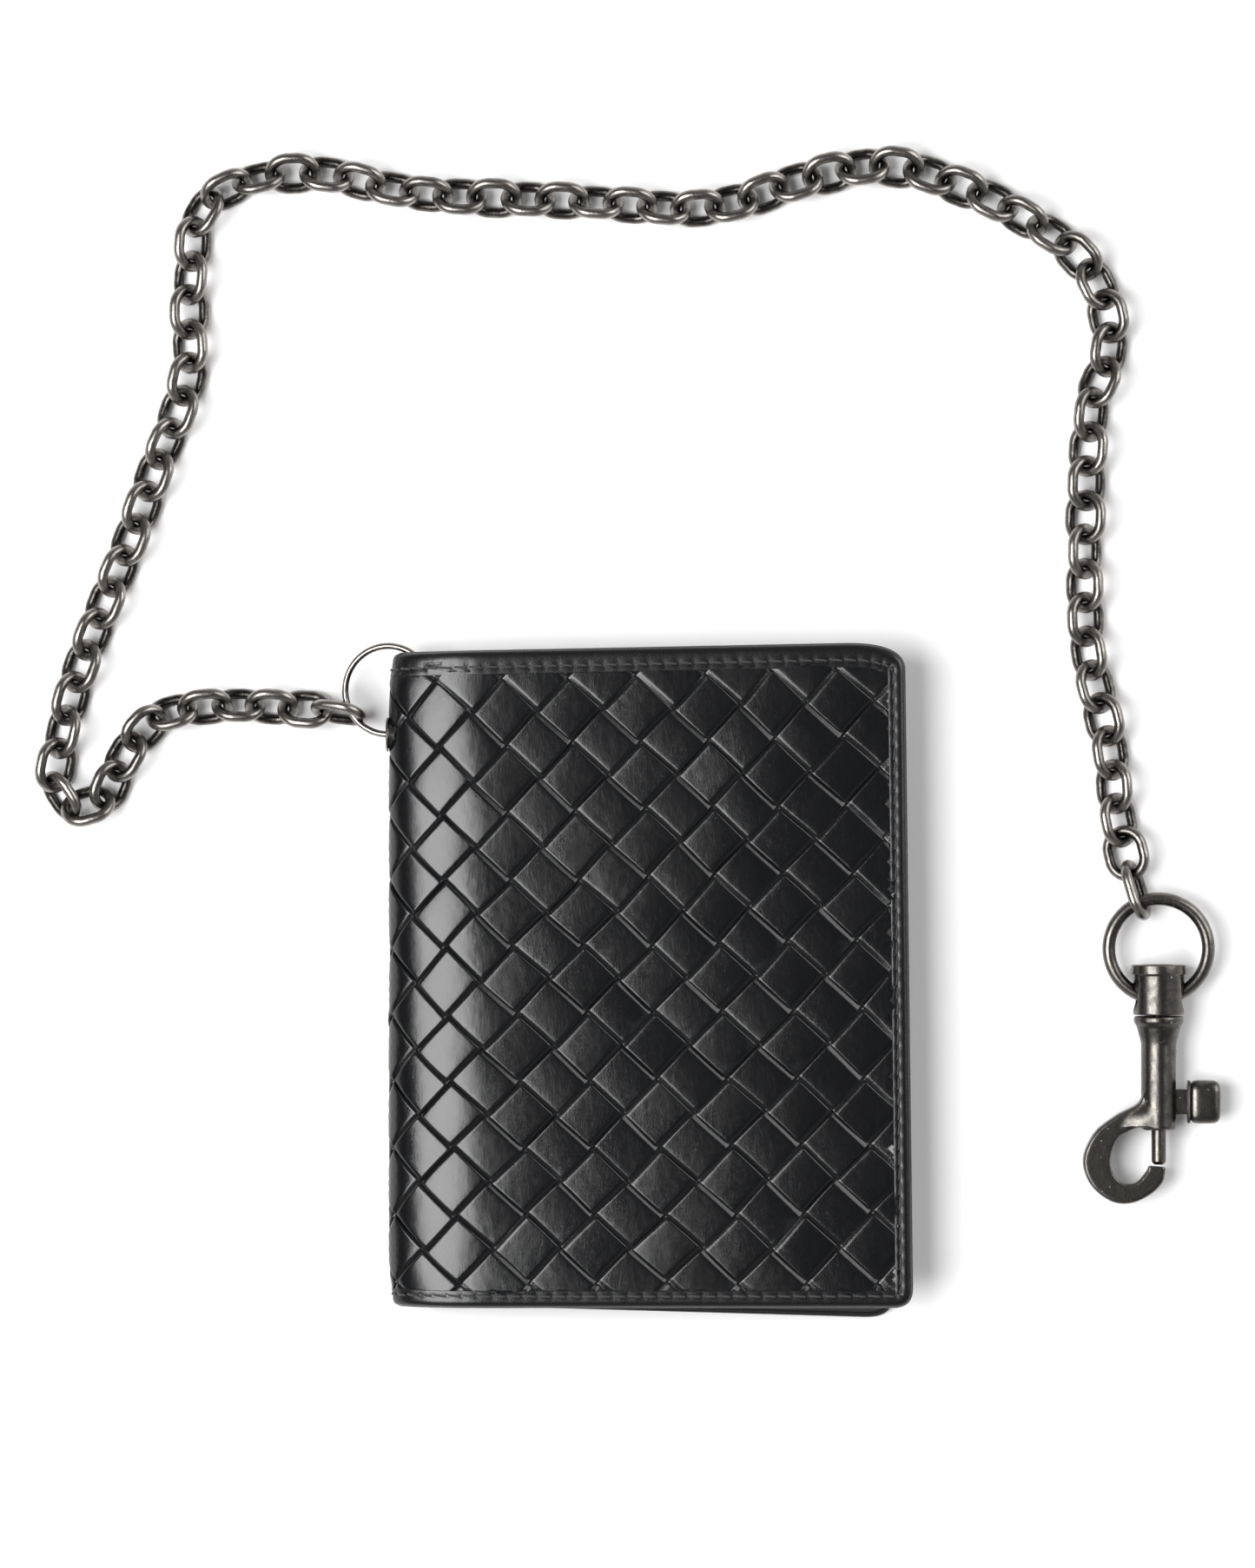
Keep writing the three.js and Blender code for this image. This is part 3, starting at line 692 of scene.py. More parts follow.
# How the strips wander off the even lattice, as waves: size, turn per column and row, and start.
WANDER_S = [(0.22, 1.9, 0.8, 0), (0.14, -1.3, 3.1, 0)]
WANDER_Y = [(0.20, 1.3, -1.7, 1), (0.12, 2.7, 2.1, 0)]
WEAVE_INSET = 2.5  # the woven part ends under the border
WEAVE_FADE = 4.5  # and flattens towards it over this width
FLAT_RELIEF = 0.5
STRIP_THICKNESS = 1.0
DIVE = 0.5  # how deep a strip's end goes under its neighbour
CROWN = 0.12  # how much lower a strip is at its ends than in its middle, before it dives
CELL_TILT = 0.12  # the usual difference in height across one cell
# Where a cell has its points, from its middle: close together where it dives and at its sides.
LENGTH_NODES = (0, 0.16, 0.3, 0.37, 0.4, 0.425, 0.45, 0.475, 0.5, 0.56)
WIDTH_NODES = (0, 0.2, 0.36, 0.44, 0.465, 0.483, 0.494, 0.499)


def mirrored(nodes):
    """A symmetric list of nodes from its upper half."""
    return np.array([-value for value in reversed(nodes[1:])] + list(nodes))


def wander(waves, column, row):
    """The sum of a few waves over the weave."""
    return sum(size * np.sin(per_column * column + per_row * row + start)
               for size, per_column, per_row, start in waves)


def weave_to_sheet(column, row):
    """Where a place in the weave, counted in diamonds, lies on the sheet."""
    held = np.clip(column, *LEAN_COLUMNS)
    s = FIRST_COLUMN + DIAMOND_WIDTH * column + row * (COLUMN_LEAN[0] + COLUMN_LEAN[1] * held)
    y = FIRST_ROW - DIAMOND_HEIGHT * row + held * (ROW_RISE[0] + ROW_RISE[1] * row)
    return s + wander(WANDER_S, column, row), y + wander(WANDER_Y, column, row)


def strip_height(along, across, crown, dive):
    """The height of a strip over one cell, from -0.5 to 0.5 along and across."""
    dive_from, dive_length = 0.385, 0.16
    round_from, round_length, round_depth = 0.46, 0.04, 0.34
    ends = crown * (2 * along) ** 2 + dive * smoothstep((np.abs(along) - dive_from) / dive_length)
    past = np.clip((np.abs(across) - round_from) / round_length, 0, 1)
    sides = 0.6 * crown * (2 * across) ** 2 + round_depth * (1 - np.sqrt(1 - past ** 2))
    return -ends - sides


def woven_cell(column, row, along_a):
    """One visible square of a strip, as sheet coordinates and heights. The a axis runs down to the
    right and the b axis up to the right."""
    along_nodes, across_nodes = mirrored(LENGTH_NODES), mirrored(WIDTH_NODES)
    a_nodes, b_nodes = (along_nodes, across_nodes) if along_a else (across_nodes, along_nodes)
    a, b = np.meshgrid(a_nodes, b_nodes, indexing="ij")
    s, y = weave_to_sheet(column + (a + b) / 2, row + (a - b) / 2)
    crown = CROWN * chance.uniform(0.75, 1.35)
    dive = DIVE * chance.uniform(0.9, 1.1)
    along, across = (a, b) if along_a else (b, a)
    h = strip_height(along, across, crown, dive)
    tilt = chance.normal(0, CELL_TILT, 2)
    h = h - 0.04 * chance.random() + tilt[0] * along + tilt[1] * across
    return s.ravel(), y.ravel(), h.ravel(), len(a_nodes), len(b_nodes)


def woven_cells():
    """The middle of every cell that may reach the sheet, and whether its strip runs along a. Cells
    lie half a diamond apart."""
    for half_row in range(-3, 24):
        for half_column in range(-20, 20):
            if (half_row + half_column) % 2 == 1:
                yield half_column / 2, half_row / 2, half_row % 2 == 1


def woven_shell():
    """The shell: woven strips over a backing, in one piece round the spine."""
    shape = Shape()
    for column, row, along_a in woven_cells():
        s, y, h, rows, columns = woven_cell(column, row, along_a)
        inside, nearest, direction = to_edge(s, y)
        if inside.max() < WEAVE_INSET + 0.3:
            continue
        relief = FLAT_RELIEF + (1 - FLAT_RELIEF) * smoothstep((inside - WEAVE_INSET) / WEAVE_FADE)
        outside = inside < WEAVE_INSET
        s = np.where(outside, nearest[:, 0] + direction[:, 0] * WEAVE_INSET, s)
        y = np.where(outside, nearest[:, 1] + direction[:, 1] * WEAVE_INSET, y)
        top = on_sheet(s, y, np.maximum(h * relief, -STRIP_THICKNESS) - 0.1 * (1 - relief))
        under = on_sheet(s, y, -STRIP_THICKNESS - 0.05)
        body = cell_body(top, under, rows, columns)
        near = np.linalg.norm(top - eyelet_place, axis=1).min() < EYELET_FLANGE
        shape.add(*(pierced(*body) if near else body))
    shape.add(*pierced(*backing()))
    return shape.build("woven_shell", woven_leather)


def cell_body(top, under, rows, columns):
    """Closes a cell: its top grid, a wall round it and one flat face below."""
    faces = grid_faces(rows, columns)
    rim = grid_rim(rows, columns)
    start = rows * columns
    count = len(rim)
    for k in range(count):
        following = (k + 1) % count
        faces.append((rim[following], rim[k], start + k, start + following))
    faces.append(tuple(start + k for k in range(count)))
    return np.concatenate([top, under[rim]]), faces


SHEET_ROWS = 300  # round the spine, close enough together to bend
SHEET_COLUMNS = 50
BACKING_THICKNESS = 0.85


def sheet_grid(inset, h):
    """A grid over the whole sheet that follows its outline, at one height."""
    across = np.linspace(-1, 1, SHEET_ROWS)
    up = np.linspace(-1, 1, SHEET_COLUMNS)
    a, u = np.meshgrid(across, up, indexing="ij")
    s = np.where(a < 0, a * back_s, a * front_s).ravel()
    y = (u * (HALF_HEIGHT + max(FRONT_RISE, BACK_DROP))).ravel()
    inside, nearest, direction = to_edge(s, y)
    outside = inside < inset
    s = np.where(outside, nearest[:, 0] + direction[:, 0] * inset, s)
    y = np.where(outside, nearest[:, 1] + direction[:, 1] * inset, y)
    return on_sheet(s, y, h)


def backing():
    """The plain leather that the strips are woven over."""
    grids = [sheet_grid(WEAVE_INSET, -STRIP_THICKNESS - depth) for depth in (0, BACKING_THICKNESS)]
    return sheet_body(*grids, SHEET_ROWS, SHEET_COLUMNS)


# ---- Border and stitches ----

# The border's cross-section, as (distance in from the edge, height): the inner lip, the top,
# the rolled edge and the part turned under.
BORDER_SECTION = [
    (3.1, -0.4), (3.08, -0.09), (3.0, -0.055), (2.4, -0.05), (STITCH_INSET, -0.1), (1.8, -0.05),
    (1.3, 0.0), (0.8, -0.05), (0.4, -0.22), (0.12, -0.52), (0.0, -0.95), (0.1, -1.45),
    (0.4, -1.82), (1.2, -1.98), (3.1, -1.98),
]


def edge_binding():
    """The smooth border, sewn down round the whole sheet."""
    shape = Shape()
    count = len(sheet_loop)
    phase = np.arange(count) / POINTS_PER_STITCH * 2 * math.pi
    pinch = (0.5 + 0.5 * np.cos(phase)) ** 3
    rings = []
    for distance, height in BORDER_SECTION:
        near = math.exp(-((distance - STITCH_INSET) / 0.35) ** 2) if height > -1 else 0
        place = sheet_loop + (sheet_across if distance > 0.9 else sheet_inward) * distance
        rings.append(on_sheet(place[:, 0], place[:, 1], height - 0.12 * near * pinch))
    points = np.stack(rings, 1).reshape(-1, 3)
    shape.add(points, grid_faces(count, len(BORDER_SECTION), wrap_rows=True, wrap_columns=True))
    return shape.build("edge_binding", border_leather)


def edge_paint_highlight_bead():
    """The burnished line of edge paint round the middle of the rolled edge, in a lighter grey that
    also paints a highlight along that edge.
    """
    section = [(0.16 * across, -1.25 + 0.3 * up) for across, up in circle(1, 8)]
    rings = []
    for out, height in section:
        place = sheet_loop - sheet_inward * (0.02 + out)
        rings.append(on_sheet(place[:, 0], place[:, 1], height))
    points = np.stack(rings, 1).reshape(-1, 3)
    faces = grid_faces(len(sheet_loop), len(section), wrap_rows=True, wrap_columns=True)
    return Shape().add(points, faces).build("edge_paint_highlight_bead", edge_paint_and_highlight)


def one_stitch(start, end, h, sunk, radius=0.2):
    """A stitch between two holes on the sheet, arched over the leather."""
    t = np.linspace(0, 1, 7)
    place = start[None] * (1 - t[:, None]) + end[None] * t[:, None]
    arch = h + sunk * (1 - (2 * t - 1) ** 4)
    return swept(on_sheet(place[:, 0], place[:, 1], arch - sunk), circle(radius, 7))


def spine_tacks():
    """A tack of tight thread at the top of the spine, one on each cover."""
    shape = Shape()
    reach = 0.85 * TACK_LENGTH / 2
    for side in (-1, 1):
        for along in np.linspace(-reach, reach, TACK_STITCHES):
            s = side * s_at(TACK_X) + along
            start = np.array([s, TACK_Y - TACK_SLIT_WIDTH])
            end = np.array([s + 0.1, TACK_Y + TACK_SLIT_WIDTH])
            shape.add(*one_stitch(start, end, 0.1, 0.12, 0.17))
    return shape.build("spine_tacks", thread)


def stitches(name, first, last, h, outward):
    """The row of stitches over part of the border, outside or inside the wallet."""
    shape = Shape()
    seam = sheet_loop + sheet_across * STITCH_INSET
    count = len(seam) // POINTS_PER_STITCH
    for k in range(count):
        start = seam[k * POINTS_PER_STITCH]
        end = seam[((k + 1) * POINTS_PER_STITCH) % len(seam)]
        if not first <= (start[0] + end[0]) / 2 < last:
            continue
        gap = (end - start) * 0.1
        slant = sheet_inward[k * POINTS_PER_STITCH] * 0.12
        shape.add(*one_stitch(start + gap + slant, end - gap - slant, h, 0.22 * outward))
    return shape.build(name, thread)


# ---- Eyelet, lining and leaves ----

eyelet_place = joint_mm("eyelet_ring_swing")
EYELET_HOLE = 2.05
EYELET_BARREL = 2.5
EYELET_FLANGE = 3.2
EYELET_SHEET = 0.35


def pierced(points, faces):
    """A closed body with the eyelet's hole cut through it."""
    hole = rod(eyelet_place - (3, 0, 0), eyelet_place + (5, 0, 0), EYELET_BARREL - 0.1)
    obj = cut(Shape().add(points, faces).build("pierced"), hole)
    left = [tuple(v.co / MM) for v in obj.data.vertices]
    kept = [tuple(face.vertices) for face in obj.data.polygons]
    bpy.data.objects.remove(obj)
    return left, kept


def spine_eyelet():
    """The steel eyelet: a barrel whose two ends are rolled into flanges."""
    low, high = box_mm("spine_eyelet")
    outside, inside = low[0] - eyelet_place[0] + 0.15, high[0] - eyelet_place[0]
    middle_radius = (EYELET_HOLE + EYELET_FLANGE) / 2
    section = eased([
        (EYELET_HOLE, (outside + inside) / 2), (EYELET_HOLE, outside + 0.1),
        (middle_radius, outside - 0.15), (EYELET_FLANGE, outside + 0.12),
        (EYELET_FLANGE, outside + EYELET_SHEET), (EYELET_BARREL, outside + EYELET_SHEET),
        (EYELET_BARREL, inside - EYELET_SHEET), (EYELET_FLANGE, inside - EYELET_SHEET),
        (EYELET_FLANGE, inside - 0.1), (middle_radius, inside + 0.1), (EYELET_HOLE, inside - 0.1),
        (EYELET_HOLE, (outside + inside) / 2 + 0.1),
    ], 0.25, 4)
    points, faces = turned(section, (0, 0, 0), 48, closed=True)
    placed = [(y + eyelet_place[0], x + eyelet_place[1], z + eyelet_place[2]) for x, y, z in points]
    return Shape().add(placed, faces).build("spine_eyelet_fine", clasp_metal)


LINING_INSET = 0.9
LINING_THICKNESS = 0.4
RING_ROOM = 2.6  # half the width of the notch in the lining that the ring lies in


def lining():
    """The lining, one thin sheet inside the covers and round the spine, notched for the ring."""
    outer = -box_mm("lining_back")[0][2]
    grids = [sheet_grid(LINING_INSET, outer - depth) for depth in (0, LINING_THICKNESS)]
    body = Shape().add(*sheet_body(*grids, SHEET_ROWS, SHEET_COLUMNS))
    outside, inside = eyelet_place - (3, 0, 0), eyelet_place + (8, 0, 0)
    top = (0, HALF_HEIGHT + 2 - eyelet_place[1], RING_ROOM)
    room = bar(outside - (0, 0, RING_ROOM), inside + top)
    rounded = rod(outside, inside, RING_ROOM)
    return cut(body.build("lining", lining_leather), room, rounded)


def leaf_outline(node):
    """A flat CAD leaf's own outline, anticlockwise and evenly spaced."""
    corners = sorted({(round(v.co.x / MM, 3), round(v.co.y / MM, 3))
                      for v in frame["nodes"][node].data.vertices})
    hull = [corners[i] for i in convex_hull_2d([Vector(corner) for corner in corners])]
    area = sum(a[0] * b[1] - a[1] * b[0] for a, b in zip(hull, hull[1:] + hull[:1]))
    return evenly(hull if area > 0 else hull[::-1], 0.7)


# A leaf's edge as (distance in, share of its half thickness), with a crease pressed all round.
LEAF_EDGE = [(0, 0), (0.02, 0.45), (0.1, 0.85), (0.3, 1), (0.85, 1), (1.0, 0.55), (1.15, 1), (1.5, 1)]


def leaf(node, material, sewn=False):
    """A flat leaf of leather or board, with softened edges, a creased line and its stitches."""
    low, high = box_mm(node)
    outline = leaf_outline(node)
    toward = inward(outline)
    centre = outline.mean(0)
    middle, half = (high[2] + low[2]) / 2, (high[2] - low[2]) / 2
    rings = []
    for side in (-1, 1):
        edge = LEAF_EDGE[::-1] if side < 0 else LEAF_EDGE[1:]
        rounds = [(outline + toward * inset, side * rise * half) for inset, rise in edge]
        shares = (0, 0.35, 0.7) if side < 0 else (0.7, 0.35, 0)
        flats = [(centre + (outline + toward * 1.5 - centre) * share, side * half) for share in shares]
        rings += flats + rounds if side < 0 else rounds + flats
    points = [np.column_stack([place, np.full(len(place), middle + rise)]) for place, rise in rings]
    points = np.concatenate(points)
    points[:, 2] = pressed(*points.T)
    shape = Shape().add(points, grid_faces(len(rings), len(outline), wrap_columns=True))
    if sewn:
        add_leaf_stitches(shape, outline, toward, middle, half)
    return shape.build(f"{node}_fine", material, thread)


def add_leaf_stitches(shape, outline, toward, middle, half):
    """Stitches down a pocket's sides and along its bottom, on the face that shows."""
    seam = outline + toward * 1.75
    side = 1 if middle < MIDDLE else -1
    per_stitch = 3
    for k in range(0, len(seam) - per_stitch, per_stitch):
        if toward[k][1] < -0.6 or toward[k + per_stitch][1] < -0.6:
            continue
        t = np.linspace(0.12, 0.88, 5)[:, None]
        place = seam[k] * (1 - t) + seam[k + per_stitch] * t
        z = np.full(len(t), middle + side * (half + 0.03))
        path = np.column_stack([place, pressed(place[:, 0], place[:, 1], z)])
        shape.add(*swept(path, circle(0.17, 6)), slot=1)


# ---- Rings and chain ----

SPINE_RING_WIRE = 1.2
KEY_RING_WIRE = 2.4
LINK_WIRE = 1.95
LINK_WIDTH = 8.8
LINKS_PER_RUN = 3
LINK_GAP = 0.1  # each link's end stops this far short of touching its neighbour
RING_GAP = 0.3  # and the two end links this far short of their rings
LINK_ROLL = 45  # degrees that the links are rolled from lying flat, to the left and right in turn
END_ROLLS = {0: 70, -2: -25, -1: 70}  # the links that hang in a ring roll differently


def torus(centre, radius, wire, right, up, steps=96, sides=20):
    """A ring of round wire in the plane of two directions, and how far out each point lies."""
    turns = np.arange(steps) * 2 * math.pi / steps
    path = [centre + radius * (math.cos(t) * right + math.sin(t) * up) for t in turns]
    points, faces = swept(path, circle(wire / 2, sides), closed=True)
    # The value grows towards the outside of the ring: wear, and a painted highlight there, with
    # painted shade on the inner side.
    out = np.linalg.norm(points - centre, axis=1)
    wear_and_painted_light = 0.15 + 0.7 * smoothstep((out - radius + wire / 2) / wire)
    return points, faces, 0, wear_and_painted_light


def spine_ring():
    """The thin bright ring through the eyelet."""
    low, high = box_mm("spine_ring")
    radius = (high[1] - low[1] - SPINE_RING_WIRE) / 2
    lean = math.asin((high[2] - low[2] - SPINE_RING_WIRE) / 2 / radius)
    right = np.array([math.cos(lean), 0, math.sin(lean)])
    body = torus((low + high) / 2, radius, SPINE_RING_WIRE, right, np.array([0, 1, 0]))
    return Shape().add(*body).build("spine_ring_fine", ring_steel)


def key_ring():
    """The ring of thick wire between the chain and the swivel."""
    low, high = box_mm("key_ring")
    radius = (high[0] - low[0] - KEY_RING_WIRE) / 2
    lean = math.asin((high[2] - low[2] - KEY_RING_WIRE) / 2 / radius)
    up = np.array([0, math.cos(lean), math.sin(lean)])
    body = torus((low + high) / 2, radius, KEY_RING_WIRE, np.array([1, 0, 0]), up)
    return Shape().add(*body).build("key_ring_fine", clasp_metal)


def chain_link(name, a, b, roll, past_a, past_b):
    """One oval link from pivot a to pivot b, reaching past both."""
    along = unit(b - a)
    bend = (LINK_WIDTH - LINK_WIRE) / 2
    straight = np.linalg.norm(b - a) + past_a + past_b - 2 * bend
    across = unit(np.cross((0, 0, 1), along))
    up = np.cross(along, across)
    side = across * math.cos(roll) - up * math.sin(roll)
    centre = (a + b) / 2 + along * (past_b - past_a) / 2
    path = []
    for turn in (np.arange(40) + 0.5) * 2 * math.pi / 40:
        reach = bend * math.cos(turn) + math.copysign(straight / 2, math.cos(turn))
        path.append(centre + along * reach + side * bend * math.sin(turn))
    points, faces = swept(path, circle(LINK_WIRE / 2, 14), closed=True)
    # The value grows towards the outside of the link: wear, and a painted highlight there, with
    # painted shade on the inner side.
    out = np.linalg.norm((points - centre) - np.outer((points - centre) @ along, along) * 0.12, axis=1)
    wear_and_painted_light = 0.05 + 0.75 * smoothstep((out - bend + LINK_WIRE * 0.3) / LINK_WIRE)
    wear_and_painted_light = wear_and_painted_light * chance.uniform(0.75, 1.1)
    return Shape().add(points, faces, 0, wear_and_painted_light).build(name, chain_metal)


def run_pivots(start, end, middle, pitch):
    """The four pivots of a run of three links, from its ends and the middle of its middle link."""
    ahead = unit(end - start)
    first, second = middle - ahead * pitch / 2, middle + ahead * pitch / 2
    for _ in range(12):
        first = start + unit(first - start) * pitch
        second = end + unit(second - end) * pitch
        gap = second - first
        pull = unit(gap) * (np.linalg.norm(gap) - pitch) / 2
        first, second = first + pull, second - pull
    return [start, first, second, end]


def chain():
    """Every link of the chain, riding in threes on the CAD's runs."""
    joints = sorted(joint["name"] for joint in frame["joints"] if joint["name"].startswith("link_"))
    ends = [joint_mm(name) for name in joints] + [joint_mm("key_ring_swing")]
    runs = len(joints)
    pitch = max(np.linalg.norm(b - a) for a, b in zip(ends, ends[1:])) / LINKS_PER_RUN
    last = runs * LINKS_PER_RUN - 1
    rolls = [math.radians(-LINK_ROLL if k % 2 else LINK_ROLL) + chance.normal(0, 0.07)
             for k in range(last + 1)]
    for k, roll in END_ROLLS.items():
        rolls[k] = math.radians(roll)
    for r in range(runs):
        node = f"chain_links_{r + 1:02d}"
        mean = np.mean([v.co for v in frame["nodes"][node].data.vertices], 0) / MM
        # The mean of three links is (start + end + 4 middle) / 6.
        middle = (6 * mean - ends[r] - ends[r + 1]) / 4
        pivots = run_pivots(ends[r], ends[r + 1], middle, pitch)
        for k in range(LINKS_PER_RUN):
            index = r * LINKS_PER_RUN + k
            free = LINK_WIRE / 2 + LINK_GAP
            past_a = (LINK_WIRE + SPINE_RING_WIRE) / 2 + RING_GAP if index == 0 else free
            past_b = (LINK_WIRE + KEY_RING_WIRE) / 2 + RING_GAP if index == last else free
            link = chain_link(f"link_{index + 1:02d}", pivots[k], pivots[k + 1], rolls[index],
                              past_a, past_b)
            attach(link, f"chain_{r + 1:02d}")
            if k == 0:
                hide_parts(node)


# ---- Clasp ----

AXIS = joint_mm("clasp_swivel")  # the clasp's long axis, which runs along Y
AXIS[1] = 0
barrel_low, barrel_high = box_mm("swivel_barrel")
body_low, body_high = box_mm("hook_body")
bolt_low, bolt_high = box_mm("spring_bolt")
RIM_RADIUS = (barrel_high[0] - barrel_low[0]) / 2
BARREL_RADIUS = RIM_RADIUS - 0.35
BARREL_BORE = 3.3
BARREL_FLOOR = 1.1
RIM_HEIGHT = 1.7
CROSS_HOLE = 2.35
POST_RADIUS = 1.3
TUBE_RADIUS = 3.25
TUBE_BOTTOM = -27.8
NECK_RADIUS = (body_high[2] - body_low[2]) / 2
NECK_LENGTH = 3.75
BOLT_RADIUS = (bolt_high[2] - bolt_low[2]) / 2
BORE_TOP = -12.3
SOCKET_BOTTOM = -10.6  # of the post's hole in the neck
STEM_TOP, STEM_BOTTOM = -20.4, -25.0
HOOK_THICKNESS = 3.6
HOOK_OUTSIDE = [
    (-2.9, -21.5), (-4.2, -23.2), (-8, -25.2), (-12, -28.5), (-14, -33.4), (-12.6, -38), (-9, -41),
    (-5.2, -41.4), (-1.6, -39.8), (0.7, -37.4), (1.25, -34.75),
]
HOOK_INSIDE = [
    (-1.9, -34.45), (-2.2, -35.4), (-4.2, -37.6), (-6.6, -37.7), (-8.5, -35.8), (-8.9, -32.8),
    (-7.6, -29.4), (-5, -27.8),
]
# The arm's face rises to the tube from this far left of the clasp's axis, at each height.
ARM_ROOT = [(-2.4, -18.5), (-2.9, -21), (-3.9, -23.2), (-7.2, -25.4), (-8.6, -27.3)]


def swivel_barrel():
    """The swivel's cup with a raised rim, crossed by the key ring's hole."""
    top, bottom = barrel_high[1], barrel_low[1]
    floor_top = bottom + BARREL_FLOOR
    rim_bottom = top - RIM_HEIGHT
    middle = (RIM_RADIUS + BARREL_BORE) / 2
    section = eased([
        (middle, top), (RIM_RADIUS, top), (RIM_RADIUS, rim_bottom), (BARREL_RADIUS, rim_bottom - 0.2),
        (BARREL_RADIUS, bottom), (POST_RADIUS + 0.1, bottom), (POST_RADIUS + 0.1, floor_top),
        (BARREL_BORE, floor_top), (BARREL_BORE, top), (middle - 0.05, top),
    ], 0.25, 6)
    cup = Shape().add(*turned(section, AXIS, 72, closed=True)).build("swivel_barrel_fine", clasp_metal)
    hole_y = (0, joint_mm("barrel_tilt")[1], 0)
    return cut(cup, rod(AXIS + hole_y - (8, 0, 0), AXIS + hole_y + (8, 0, 0), CROSS_HOLE))


def swivel_post():
    """The post's round head, peened over inside the cup, and its shank."""
    low, high = box_mm("swivel_post")
    head = (high[0] - low[0]) / 2
    head_bottom = barrel_low[1] + BARREL_FLOOR + 0.05
    head_top = high[1] - 0.6  # clear of the key ring when the barrel tilts
    profile = eased([
        (0, low[1]), (POST_RADIUS, low[1]), (POST_RADIUS, head_bottom), (head, head_bottom),
        (head - 0.35, head_top), (0, head_top),
    ], 0.25)
    return Shape().add(*turned(profile, AXIS, 40)).build("swivel_post_fine", clasp_metal)


def hook_outline():
    """The hook seen from above, anticlockwise, and how far in its flat face starts all round."""
    outside = through(HOOK_OUTSIDE)
    inside = through(HOOK_INSIDE)
    arm = [(0, TUBE_BOTTOM + 1.5), (0, HOOK_OUTSIDE[0][1])]
    loop = np.array(outside + inside + arm)
    bevel = np.array([0.45] * len(outside) + [1.2] * len(inside) + [0.5] * len(arm))
    bevel[len(outside) - 2:len(outside) + 3] = 0.5
    even = evenly(loop, 0.3)
    nearest = [np.argmin(((loop - point) ** 2).sum(1)) for point in even]
    bevel = bevel[nearest]
    for _ in range(6):
        bevel = (np.roll(bevel, 1) + bevel * 2 + np.roll(bevel, -1)) / 4
    return even + AXIS[:2], bevel


def arm_root():
    """The swell that runs from the hook's flat face up to the tube, on both faces."""
    rows = through(ARM_ROOT, 6)
    shares = np.linspace(0, 1, 9)
    half = HOOK_THICKNESS / 2
    swell = 0.5 + 0.5 * np.cos(math.pi * shares)
    rise = half - 0.1 + (TUBE_RADIUS - half) * swell
    section = list(zip(shares, rise)) + list(zip(shares[::-1], -rise[::-1]))
    points = [(AXIS[0] + left * share, y, AXIS[2] + z) for left, y in rows for share, z in section]
    size = len(rows), len(section)
    return points, grid_faces(*size, wrap_columns=True) + end_caps(*size)


def hook_body():
    """The cast body: a neck and tube that run into a flat-faced hook, bored for the bolt."""
    top = body_high[1]
    tube = eased([
        (0, TUBE_BOTTOM), (TUBE_RADIUS, TUBE_BOTTOM), (TUBE_RADIUS, top - NECK_LENGTH - 1.3),
        (TUBE_RADIUS + 0.3, top - NECK_LENGTH), (NECK_RADIUS - 0.5, top - 1.7),
        (NECK_RADIUS, top - 1.1), (NECK_RADIUS, top + 0.1), (0, top + 0.1),
    ], 0.35)
    outline, bevel = hook_outline()
    half = HOOK_THICKNESS / 2
    edge = []
    for turn in np.linspace(0, math.pi / 2, 6):
        edge.append((bevel * (1 - math.cos(turn)), half - 0.75 * (1 - math.sin(turn))))
    lower = [(inset, AXIS[2] - rise) for inset, rise in reversed(edge)]
    plate = slab(outline, lower + [(inset, AXIS[2] + rise) for inset, rise in edge])
    body = Shape().add(*turned(tube, AXIS, 72)).add(*plate).add(*arm_root())
    body = body.build("hook_body_fine", clasp_metal)
    cast(body, 0.17, 9)
    knob_low, knob_high = box_mm("thumb_knob")
    slot_low = AXIS + (0, knob_low[1] + 1.4, -1.0)
    slot_high = AXIS + (6, knob_high[1] + 4.1, 1.0)
    bore = rod(AXIS + (0, TUBE_BOTTOM - 2, 0), AXIS + (0, BORE_TOP, 0), BOLT_RADIUS + 0.1)
    socket = rod(AXIS + (0, top + 1, 0), AXIS + (0, SOCKET_BOTTOM, 0), POST_RADIUS + 0.1)
    return cut(body, bore, socket, bar(slot_low, slot_high))


def spring_bolt():
    """The round bolt that closes the hook, its tip chamfered."""
    profile = eased([
        (0, bolt_low[1]), (BOLT_RADIUS - 0.5, bolt_low[1]), (BOLT_RADIUS, bolt_low[1] + 0.5),
        (BOLT_RADIUS, bolt_high[1]), (0, bolt_high[1]),
    ], 0.2)
    return Shape().add(*turned(profile, AXIS, 40)).build("spring_bolt_fine", clasp_metal)


def pillow(centre, half, corner, fullness, steps=64):
    """A cushion-shaped body. corner and fullness near 0 are square and near 1 are round."""
    def power(value, exponent):
        return math.copysign(abs(value) ** exponent, value)

    points = []
    for rise in np.linspace(-math.pi / 2, math.pi / 2, steps // 2 + 1):
        for turn in np.arange(steps) * 2 * math.pi / steps:
            share = power(math.cos(rise), fullness) if abs(rise) < 1.57 else 0
            points.append((
                centre[0] + half[0] * power(math.cos(turn), corner) * share,
                centre[1] + half[1] * power(math.sin(turn), corner) * share,
                centre[2] + half[2] * power(math.sin(rise), fullness),
            ))
    return points, grid_faces(steps // 2 + 1, steps, wrap_columns=True)


